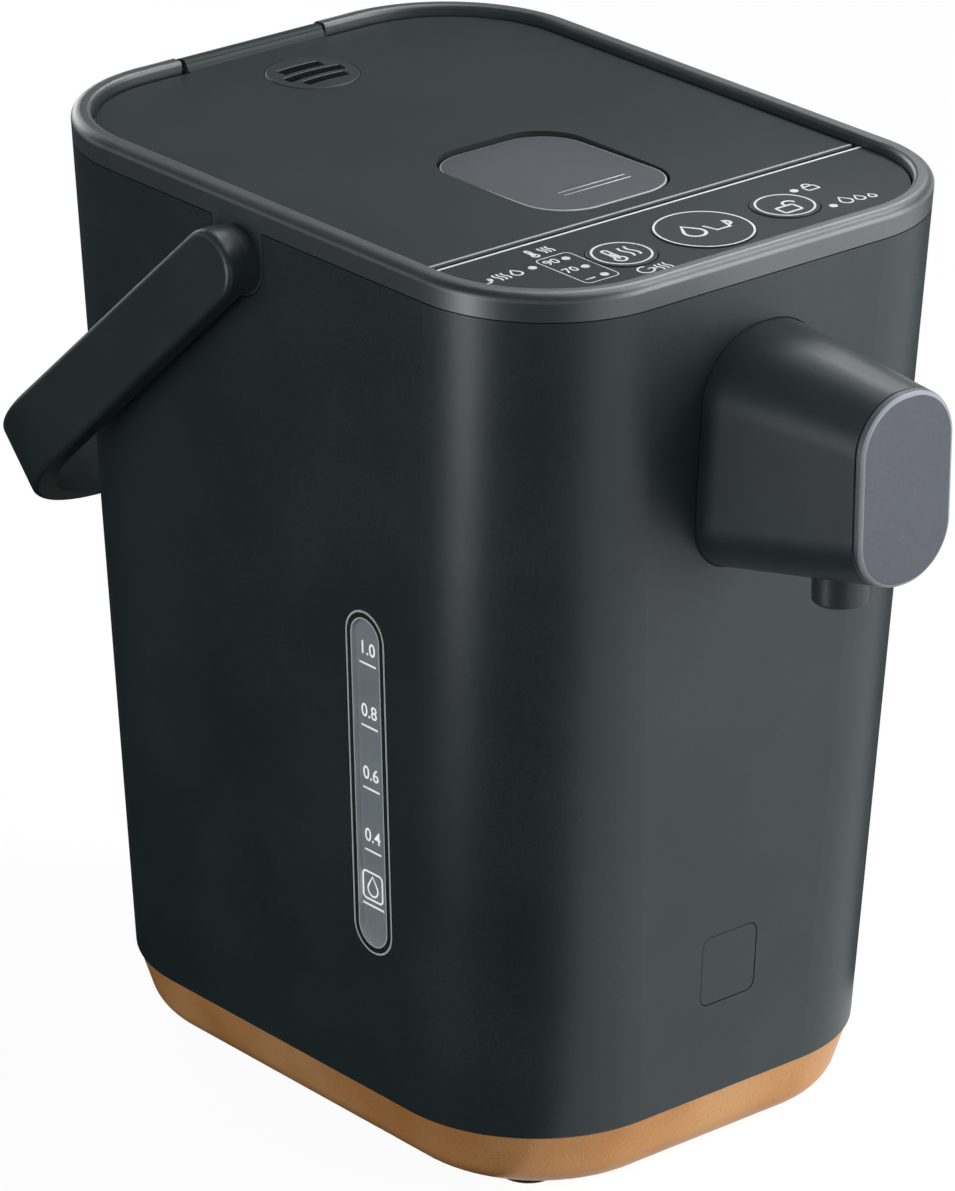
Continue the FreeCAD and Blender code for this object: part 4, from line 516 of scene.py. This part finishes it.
def print_shape(lines, texts, width):
    """Flat ink in millimetres. A line is its points, whether it is closed and, where it has one,
    a width of its own; a text is its words, size and place."""
    shape = bmesh.new()
    curve = bpy.data.curves.new("line", "CURVE")
    curve.dimensions = "3D"
    curve.bevel_depth = width / 2
    curve.bevel_resolution = 1
    curve.use_fill_caps = True
    for points, closed, *own in lines:
        spline = curve.splines.new("POLY")
        spline.points.add(len(points) - 1)
        for point, (x, y) in zip(spline.points, points):
            point.co = (x, y, 0, 1)
            point.radius = own[0] / width if own else 1.0
        spline.use_cyclic_u = closed
    drawn = [(curve, Matrix.Diagonal((1, 1, INK_THICKNESS / width, 1)))]
    for words, size, x, y in texts:
        text = bpy.data.curves.new("text", "FONT")
        text.body = words
        text.size = size
        text.align_x = "CENTER"
        text.align_y = "CENTER"
        text.extrude = INK_THICKNESS / 2
        text.offset = INK_SWELL * size
        drawn.append((text, Matrix.Translation((x, y, 0))))
    for data, move in drawn:
        carrier = bpy.data.objects.new("carrier", data)
        mesh = bpy.data.meshes.new_from_object(carrier)
        mesh.transform(move)
        shape.from_mesh(mesh)
        bpy.data.objects.remove(carrier)
    return shape


def shader_of(material):
    """The surface shader of a material."""
    kind = "ShaderNodeBsdfPrincipled"
    return next(node for node in material.node_tree.nodes if node.bl_idname == kind)


def paint_line(material, value, band, colour):
    """Lays a colour over a material's own where a value is in a band: middle and half width in mm."""
    tree = material.node_tree
    coat = shader_of(material)
    middle, half = band
    mask = add(
        tree, "ShaderNodeMath", {0: value, 1: middle * MM, 2: half * MM}, operation="COMPARE",
    ).outputs[0]
    under = coat.inputs["Base Color"].links[0].from_socket
    tint = add(
        tree, "ShaderNodeMix", {"Factor": mask, "A": under, "B": linear(colour)}, data_type="RGBA",
    )
    tree.links.new(tint.outputs["Result"], coat.inputs["Base Color"])


def from_outline(tree, axes, middle, half, corner):
    """Distance from a rounded box drawn in two of the object's axes, its sizes in mm."""
    place = add(tree, "ShaderNodeTexCoord").outputs["Object"]
    parts = add(tree, "ShaderNodeSeparateXYZ", {0: place}).outputs
    past = []
    for axis, centre, reach in zip(axes, middle, half):
        limit = (reach - corner) * MM
        shift = add(tree, "ShaderNodeMath", {0: parts[axis], 1: centre * MM}, operation="SUBTRACT")
        size = add(tree, "ShaderNodeMath", {0: shift.outputs[0]}, operation="ABSOLUTE")
        over = add(tree, "ShaderNodeMath", {0: size.outputs[0], 1: limit}, operation="SUBTRACT")
        past.append(over.outputs[0])
    inner = add(tree, "ShaderNodeMath", {0: past[0], 1: past[1]}, operation="MAXIMUM").outputs[0]
    inner = add(tree, "ShaderNodeMath", {0: inner, 1: 0.0}, operation="MINIMUM").outputs[0]
    outer = [
        add(tree, "ShaderNodeMath", {0: value, 1: 0.0}, operation="MAXIMUM").outputs[0]
        for value in past
    ]
    outer = add(tree, "ShaderNodeCombineXYZ", {0: outer[0], 1: outer[1]}).outputs[0]
    outer = add(tree, "ShaderNodeVectorMath", {0: outer}, operation="LENGTH").outputs["Value"]
    total = add(tree, "ShaderNodeMath", {0: outer, 1: inner}, operation="ADD").outputs[0]
    return add(tree, "ShaderNodeMath", {0: total, 1: corner * MM}, operation="SUBTRACT").outputs[0]


def print_on(name, body, place, right, up, shape, ink):
    """Puts ink on a surface: the drawing's origin at a place, its axes along right and up."""
    right = Vector(right).normalized()
    up = Vector(up).normalized()
    shape.transform(frame_matrix(Vector(place) * MM, right, up) @ Matrix.Scale(MM, 4))
    bmesh.ops.remove_doubles(shape, verts=shape.verts, dist=0.001 * MM)
    bmesh.ops.recalc_face_normals(shape, faces=shape.faces)
    piece = new_piece(name, shape, ink)
    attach(piece, body)


# Pearl foil is white and bright. The lamps leave the pane in shade, so the foil has a little
# glow of its own.
INK_GLOW = 0.45
pearl_ink = satin(
    "pearl_white_stamping_foil", ("#e9ebeb", "#f7f8f8"),
    grain=0.5 * MM, relief=0.004 * MM, roughness=0.5, spread=0.05, shine=0.5,
)
shader_of(pearl_ink).inputs["Emission Color"].default_value = linear("#ffffff")
shader_of(pearl_ink).inputs["Emission Strength"].default_value = INK_GLOW

# Smoked acrylic dims what lies behind it and keeps a broad gloss. A faint haze clouds it.
material, tree = new_material("smoked_clear_acrylic")
place = add(tree, "ShaderNodeTexCoord").outputs["Object"]
haze = add(tree, "ShaderNodeTexNoise", {"Vector": place, "Scale": 1 / (14 * MM), "Detail": 2.0})
tint = add(
    tree, "ShaderNodeMix",
    {"Factor": haze.outputs["Fac"], "A": linear("#94a1a9"), "B": linear("#aab7bf")},
    data_type="RGBA",
)
pane = add(
    tree, "ShaderNodeBsdfPrincipled",
    {
        "Base Color": tint.outputs["Result"], "Roughness": 0.16, "IOR": 1.6,
        "Specular IOR Level": 0.8, "Alpha": PANE_TINT,
    },
)
add(tree, "ShaderNodeOutputMaterial", {"Surface": pane.outputs[0]})
dress(material, "gauge_window")

# Clear polysulfone is faintly grey, and water marks vary its gloss.
material, tree = new_material("clear_polysulfone_tube")
place = add(tree, "ShaderNodeTexCoord").outputs["Object"]
wet = add(tree, "ShaderNodeTexNoise", {"Vector": place, "Scale": 1 / (6 * MM), "Detail": 2.0})
rough = add(tree, "ShaderNodeMapRange", {"Value": wet.outputs["Fac"], "To Min": 0.06, "To Max": 0.16})
tube = add(
    tree, "ShaderNodeBsdfPrincipled",
    {"Base Color": linear("#9aa3a6"), "Roughness": rough.outputs[0], "IOR": 1.6, "Alpha": 0.35},
)
add(tree, "ShaderNodeOutputMaterial", {"Surface": tube.outputs[0]})
dress(material, "level_tube")

# Pale polystyrene shows through the pane as the gauge's light ground.
pale_grey_polystyrene = satin(
    "pale_grey_polystyrene", ("#8b9194", "#979da0"),
    grain=1.5 * MM, relief=0.004 * MM, roughness=0.4, spread=0.04, shine=0.4,
)
dress(pale_grey_polystyrene, "gauge_backing")

# The frame is polished ABS, dark with a sharp gloss. Two thin pale lines at these distances inside
# its outline are painted highlights, where its rounded edges would catch the light.
BEZEL_MIDDLE = (-36.8, 104.95)
BEZEL_HALF = (7.4, 47.05)
BEZEL_EDGE_HIGHLIGHTS = (-0.3, -2.2)
BEZEL_HIGHLIGHT_HALF = 0.28
frame_plastic = satin(
    "gloss_charcoal_abs", ("#262b2d", "#2e3436"),
    grain=0.8 * MM, relief=0.003 * MM, roughness=0.25, spread=0.04, shine=0.2,
)
outline = from_outline(frame_plastic.node_tree, "YZ", BEZEL_MIDDLE, BEZEL_HALF, BEZEL_HALF[0])
# Painted highlights: pale bands laid over the frame's own colour along its rounded edges.
for edge in BEZEL_EDGE_HIGHLIGHTS:
    paint_line(frame_plastic, outline, (edge, BEZEL_HIGHLIGHT_HALF), "#c9cfd1")
dress(frame_plastic, "gauge_bezel")

# The print leans with the pane, so its heights are measured along the pane from its upper edge.
pane_low, pane_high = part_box("gauge_window")
pane_top = pane_high.z / MM
lean = math.hypot(1, GAUGE_LEAN)


def up_pane(z):
    """Place of a height on the pane, along the pane."""
    return (z - pane_top) * lean


fill = up_pane(FILL_Z)
x0, y0, x1, y1 = FILL_BOX
fill_drop = arc(DROP_MIDDLE[0], fill + DROP_MIDDLE[1], DROP_RADIUS, 30, -210)
gauge_lines = [([(-y, up_pane(z)) for y in MARK_Y], False) for z, number in MARK_Z]
gauge_lines += [
    ([(x, fill) for x in FILL_LINE], False),
    (round_box(x0, fill + y0, x1, fill + y1, FILL_BOX_CORNER), True),
    ([(DROP_MIDDLE[0], fill + DROP_TIP)] + fill_drop, True),
]
number_x = -sum(MARK_Y) / 2
gauge_texts = [(number, NUMBER_SIZE, number_x, up_pane(z) + NUMBER_RISE) for z, number in MARK_Z]
print_on(
    "gauge_print", "pot", (pane_low.x / MM, 0, pane_top), (0, -1, 0), (-GAUGE_LEAN, 0, 1),
    print_shape(gauge_lines, gauge_texts, MARK_LINE), pearl_ink,
)

# Rim, spout and handle
# Charcoal ABS from a finely eroded mould, a shade lighter than the paint wherever light falls on
# it. The spout's end cap is a separate smooth moulding in slate grey.
CAP_MIDDLE = (0.0, 200.5)
CAP_HALF = (15.2, 24.9)
CAP_CORNER = 14.2
CAP_EDGE_HIGHLIGHT = (-0.75, 0.5)

# Fine erosion gives this ABS a soft, even sheen.
moulded = satin(
    "moulded_charcoal_abs", ("#232d2f", "#2e393b"),
    grain=0.45 * MM, relief=0.016 * MM, roughness=0.40, spread=0.05, shine=0.5,
)
dress(moulded, "handle", "spout_housing")
# A clear lacquer lets the rim catch more light than the walls do.
LACQUER_WEIGHT = 0.5
LACQUER_ROUGHNESS = 0.42
lacquered = satin(
    "lacquered_charcoal_abs", ("#1f292b", "#2a3537"),
    grain=0.45 * MM, relief=0.014 * MM, roughness=0.42, spread=0.05, shine=0.9,
)
shader_of(lacquered).inputs["Coat Weight"].default_value = LACQUER_WEIGHT
shader_of(lacquered).inputs["Coat Roughness"].default_value = LACQUER_ROUGHNESS
dress(lacquered, "shoulder_ring")
# Slate grey ABS from a smooth mould is even and silky; a painted highlight makes its turning edge
# paler.
slate_cap = satin(
    "smooth_slate_abs", ("#555962", "#5e626c"),
    grain=0.9 * MM, relief=0.002 * MM, roughness=0.38, spread=0.03, shine=0.3,
)
outline = from_outline(slate_cap.node_tree, "XZ", CAP_MIDDLE, CAP_HALF, CAP_CORNER)
# Painted highlight: a pale band just inside the cap's rounded outline.
paint_line(slate_cap, outline, CAP_EDGE_HIGHLIGHT, "#9aa0a7")
dress(slate_cap, "spout_face")
# The outlet tube has the spout's grain in a more neutral black.
moulded_black_abs = satin(
    "moulded_black_abs", ("#2a3032", "#343b3d"),
    grain=0.5 * MM, relief=0.01 * MM, roughness=0.40, spread=0.05, shine=0.4,
)
dress(moulded_black_abs, "spout_nozzle")
dress(zinc, "handle_pins")

# Rim frame
# The hidden frame in the rim carries the throat, the gasket's ledge and the notch for the latch.
# It is moulded in black polypropylene, like the bottom plate.
dress(black_moulding, "mouth_ring")

# Lid plate, control panel and keys
# Smooth semi-matt charcoal plates. Along the split, painted highlights make two pale lines on their
# rounded edges, with painted shade on the lid's front edge between; the keys are of the same
# film-covered plastic.
SPLIT_Y = -56.3
PANEL_EDGE_HIGHLIGHT = (-1.0, 0.55)
LID_EDGE_HIGHLIGHT = (1.75, 0.42)
LID_SHADE = (0.85, 0.48)

# The plates are smooth, so they show broad quiet reflections.
plate = satin(
    "smooth_charcoal_abs", ("#2c3434", "#353d3d"),
    grain=0.9 * MM, relief=0.002 * MM, roughness=0.36, spread=0.03, shine=0.16,
)
tree = plate.node_tree
place = add(tree, "ShaderNodeTexCoord").outputs["Object"]
y = add(tree, "ShaderNodeSeparateXYZ", {0: place}).outputs["Y"]
across = add(tree, "ShaderNodeMath", {0: y, 1: SPLIT_Y * MM}, operation="SUBTRACT").outputs[0]
# Painted shade on the lid's front edge, then painted highlights on the lid's and the panel's rounded
# edges.
paint_line(plate, across, LID_SHADE, "#121617")
paint_line(plate, across, LID_EDGE_HIGHLIGHT, "#b9bdbd")
paint_line(plate, across, PANEL_EDGE_HIGHLIGHT, "#eceeee")
dress(plate, "lid_cover", "control_panel")
# A thin film makes the keys a shade lighter and more matt than the plate round them.
film_covered_abs = satin(
    "film_covered_abs", ("#34393b", "#3b4143"),
    grain=0.9 * MM, relief=0.002 * MM, roughness=0.38, spread=0.03, shine=0.16,
)
dress(film_covered_abs, "keep_warm_button", "dispense_button", "unlock_button")

# Steam vent
# A round cap of the same smooth plastic is pressed into the lid plate. Painted shade lies over its
# three curved slots, and a painted highlight along each one's rear lip.
VENT_MIDDLE = (1.0, 72.9)
VENT_LIFT = 0.02
VENT_BOW = 45.0
VENT_STROKE = 2.0
VENT_SLOTS = (
    # place across the cap, half length, width
    (5.0, 6.6, 3.4),
    (-0.1, 9.2, 3.2),
    (-5.1, 6.8, 3.0),
)
LIP_GAP = 0.2
LIP_HIGHLIGHT_LINE = 0.28
LIP_SHARE = 0.96


def vent_arc(offset, reach, shift):
    """Points along a vent slot, shifted across it."""
    spread = math.degrees(math.asin(reach / VENT_BOW))
    return arc(0, offset - VENT_BOW, VENT_BOW + shift, 90 + spread, 90 - spread, 20)


def top_of(name):
    """Middle of a node's top in millimetres."""
    low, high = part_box(name)
    return (low.x + high.x) / 2 / MM, (low.y + high.y) / 2 / MM, high.z / MM


# The vent's cap is as smooth as the plate and a shade lighter.
smooth_vent_abs = satin(
    "smooth_vent_abs", ("#343b3c", "#3d4445"),
    grain=0.9 * MM, relief=0.002 * MM, roughness=0.34, spread=0.03, shine=0.16,
)
dress(smooth_vent_abs, "steam_vent_cap")
# Painted shade: the black strokes over the slots stand for the dark in their depth.
slot_shade = satin(
    "painted_vent_slot_shade", ("#040505", "#0a0b0b"),
    grain=0.6 * MM, relief=0.002 * MM, roughness=0.85, spread=0.05, shine=0.05,
)
# A thin pale stroke along each rear lip is a painted highlight.
lip_highlight = satin(
    "painted_vent_lip_highlight", ("#8d9293", "#a0a5a6"),
    grain=0.6 * MM, relief=0.002 * MM, roughness=0.3, spread=0.03, shine=0.3,
)
# Painted shade: black strokes laid over the slots, where their insides fall dark.
shade_strokes = [(vent_arc(at, reach, 0), False, width) for at, reach, width in VENT_SLOTS]
# Painted highlights: thin pale strokes along each slot's rear lip.
highlight_strokes = [
    (vent_arc(at, reach * LIP_SHARE, width / 2 + LIP_GAP), False, LIP_HIGHLIGHT_LINE)
    for at, reach, width in VENT_SLOTS
]
vent_top = top_of("steam_vent_cap")[2] + VENT_LIFT
for name, lines, painted in (("vent_slot_shade", shade_strokes, slot_shade), ("vent_lip_highlight", highlight_strokes, lip_highlight)):
    print_on(
        name, "lid", (*VENT_MIDDLE, vent_top), (1, 0, 0), (0, 1, 0),
        print_shape(lines, [], VENT_STROKE), painted,
    )

# Prints on the keys and the panel
# White signs of what each key and light means are screen printed. Each key carries a ring, and
# small milky lights stand beside the keys.
INK_LINE = 0.62
SMALL_RING = 7.35
BIG_RING = 12.25
TEMPERATURE_BOX = (-45.9, -87.0, -35.4, -67.4)
TEMPERATURE_BOX_CORNER = 1.6
TEMPERATURE_BOX_LINE = 0.32
TEMPERATURES = (("90", -70.5), ("70", -77.4))
TEMPERATURE_X = -42.9
TEMPERATURE_SIZE = 4.2
OFF_DASH = ((-44.6, -84.6), (-41.6, -84.6))

# Milky polycarbonate spreads the lamp below it to an even white dot.
milky_polycarbonate = satin(
    "milky_polycarbonate", ("#e6e8e8", "#f4f5f5"),
    grain=0.8 * MM, relief=0.002 * MM, roughness=0.3, spread=0.03, shine=0.5,
)
dress(milky_polycarbonate, "led_lenses")
# Screen printing ink is a flat, solid white.
white_ink = satin(
    "white_screen_printing_ink", ("#e6e8e8", "#f4f5f5"),
    grain=0.5 * MM, relief=0.004 * MM, roughness=0.55, spread=0.05, shine=0.3,
)


def drop(x, y, size):
    """Outline of a drop of water."""
    return [([(x, y + size)] + arc(x, y - 0.15 * size, 0.62 * size, 30, -210, 24), True)]


def padlock(x, y, size, opened=False):
    """Outline of a padlock, with its bow lifted on one side where it is open."""
    swing = 0.55 * size if opened else 0.0
    case = round_box(x - 0.6 * size, y - 0.85 * size, x + 0.6 * size, y, 0.12 * size)
    bow = arc(x + swing, y + 0.15 * size, 0.38 * size, 180, 0, 10)
    legs = [(x + swing - 0.38 * size, y)] + bow + ([] if opened else [(x + 0.38 * size, y)])
    return [(case, True), (legs, False)]


def thermometer(x, y, size):
    """Outline of a thermometer with the column in it."""
    bulb = arc(x, y - 0.6 * size, 0.34 * size, 60, -240, 18)
    stem = arc(x, y + 0.75 * size, 0.17 * size, 180, 0, 8)
    column = [(x, y - 0.6 * size), (x, y + 0.35 * size)]
    return [(bulb + stem, True), (column, False)]


def steam(x, y, size, count=3):
    """Rising waves of steam."""
    waves = []
    for i in range(count):
        middle = x + (i - (count - 1) / 2) * 0.5 * size
        wave = [
            (middle + 0.13 * size * math.sin(2 * math.pi * j / 12), y + size * (j / 6 - 1) * 0.8)
            for j in range(13)
        ]
        waves.append((wave, False))
    return waves


def cup(x, y, size):
    """Outline of a cup with a handle."""
    bowl = [(x - 0.75 * size, y + 0.5 * size), (x - 0.5 * size, y - 0.5 * size)]
    bowl += [(x + 0.5 * size, y - 0.5 * size), (x + 0.75 * size, y + 0.5 * size)]
    grip = arc(x + 0.66 * size, y + 0.1 * size, 0.3 * size, 75, -100, 8)
    return [(bowl, False), (grip, False)]


def turning_arrow(x, y, size):
    """A round arrow, for heating again."""
    ring = arc(x, y, 0.8 * size, 60, 370, 20)
    tip = ring[-1]
    barbs = [
        (tip[0] - 0.55 * size, tip[1] - 0.1 * size), tip,
        (tip[0] + 0.3 * size, tip[1] - 0.5 * size),
    ]
    return [(ring, False), (barbs, False)]


def key_print(key, radius, points, signs, width):
    """Print on a key's top, drawn about its middle: a ring, and signs in a bolder line."""
    ring = [(arc(0, 0, radius, 0, 360 - 360 / points, points - 1), True)]
    bold = [(line, closed, width) for line, closed in signs]
    print_on(
        key + "_print", key + "_key", top_of(key + "_button"), (1, 0, 0), (0, 1, 0),
        print_shape(ring + bold, [], INK_LINE), white_ink,
    )


warm_signs = thermometer(-2.6, 0, 4.4) + steam(2.4, 0, 4.0, 2)
key_print("keep_warm", SMALL_RING, 60, warm_signs, 0.75)
key_print("unlock", SMALL_RING, 60, padlock(-1.0, -0.6, 4.6, opened=True), 0.8)
key_print("dispense", BIG_RING, 72, drop(-3.4, 0.2, 4.4) + cup(4.2, -0.4, 4.2), 0.95)

PANEL_SIGNS = (
    # sign, its middle and size
    (thermometer, -43.0, -63.2, 2.6), (steam, -38.4, -63.2, 2.4),
    (cup, -64.2, -70.6, 2.6), (steam, -58.6, -70.4, 2.6), (drop, -54.2, -70.6, 2.2),
    (turning_arrow, -29.0, -88.6, 2.6), (steam, -24.0, -89.4, 2.6),
    (padlock, 40.6, -70.2, 3.0),
    (drop, 41.0, -83.4, 2.6), (drop, 45.0, -84.2, 2.0), (drop, 48.4, -85.0, 1.5),
)
panel_lines = [
    (round_box(*TEMPERATURE_BOX, TEMPERATURE_BOX_CORNER), True, TEMPERATURE_BOX_LINE),
    (OFF_DASH, False),
]
for sign, x, y, size in PANEL_SIGNS:
    panel_lines += sign(x, y, size)
panel_texts = [(words, TEMPERATURE_SIZE, TEMPERATURE_X, y) for words, y in TEMPERATURES]
print_on(
    "panel_print", "pot", (0, 0, top_of("control_panel")[2]), (1, 0, 0), (0, 1, 0),
    print_shape(panel_lines, panel_texts, INK_LINE), white_ink,
)

# Lid lever
# A slate grey rocker lies in the lid plate with two short lines printed where it is pressed.
# Its moulded face is smooth and a little silky.
LEVER_SLOPE = -math.tan(math.radians(1.3))
LEVER_MIDDLE = (0.0, -21.8)
LEVER_HALF = (21.4, 26.6)
LEVER_CORNER = 13.2
LEVER_EDGE_HIGHLIGHT = (-0.32, 0.24)
LEVER_FRONT_Y = -48.4
LEVER_FRONT_Z = 245.4
LINES_X = (-9.3, 12.4)
LINES_Y = (-36.7, -34.4)
LINES_WIDTH = 0.4

# The lever's slate grey is slightly warmer than the spout's cap, with a painted highlight at its
# edge.
slate = satin(
    "silky_slate_abs", ("#575961", "#5f6169"),
    grain=0.9 * MM, relief=0.002 * MM, roughness=0.36, spread=0.03, shine=0.16,
)
outline = from_outline(slate.node_tree, "XY", LEVER_MIDDLE, LEVER_HALF, LEVER_CORNER)
# Painted highlight: a light band just inside the lever's rounded outline.
paint_line(slate, outline, LEVER_EDGE_HIGHLIGHT, "#b4b8ba")
dress(slate, "lid_lever")
dress(zinc, "lever_pin")
press_lines = [([(x, y - LEVER_FRONT_Y) for x in LINES_X], False) for y in LINES_Y]
print_on(
    "lever_print", "lever", (0, LEVER_FRONT_Y, LEVER_FRONT_Z), (1, 0, 0), (0, 1, LEVER_SLOPE),
    print_shape(press_lines, [], LINES_WIDTH), white_ink,
)

# Under the lid
# The lid's black body carries the latch, its spring and the steam duct. A drawn stainless inner
# lid with a silicone gasket closes the tank, and a steel ball stops spills.
dress(black_moulding, "lid_body", "steam_duct")
# Acetal is greyer where it is thick.
white_acetal_latch = satin(
    "white_acetal_latch", ("#c8c9c6", "#d6d7d4"),
    grain=0.9 * MM, relief=0.004 * MM, roughness=0.4, spread=0.04, shine=0.5,
)
dress(white_acetal_latch, "lid_latch")
# Drawn spring wire is grey and bright along its turns.
spring_steel_wire = brushed(
    "spring_steel_wire", ("#9b9da0", "#b8babd"),
    line=0.4 * MM, roughness=0.3, spread=0.05,
)
dress(spring_steel_wire, "latch_spring")
dress(zinc, "lid_screws", "hinge_pin")
dress(stainless, "inner_lid", "steam_valve_ball")
dress(silicone, "lid_gasket")

# Mains inlet
# A black moulded socket at the rear holds two brass pins behind a brushed steel plate.
# The pins are turned and left bright.
dress(black_moulding, "inlet_socket")
# Fresh turned brass is yellow and shiny.
turned_brass = satin(
    "turned_brass", ("#b8923f", "#cba655"),
    grain=0.4 * MM, relief=0.006 * MM, roughness=0.25, spread=0.05, shine=0.5, metal=1.0,
)
dress(turned_brass, "inlet_pins")
dress(stainless, "inlet_plate")

# The CAD model's box and the visual model's box go side by side into one list.
size = [[list(corner) for corner in cad_box], [list(corner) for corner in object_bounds()]]
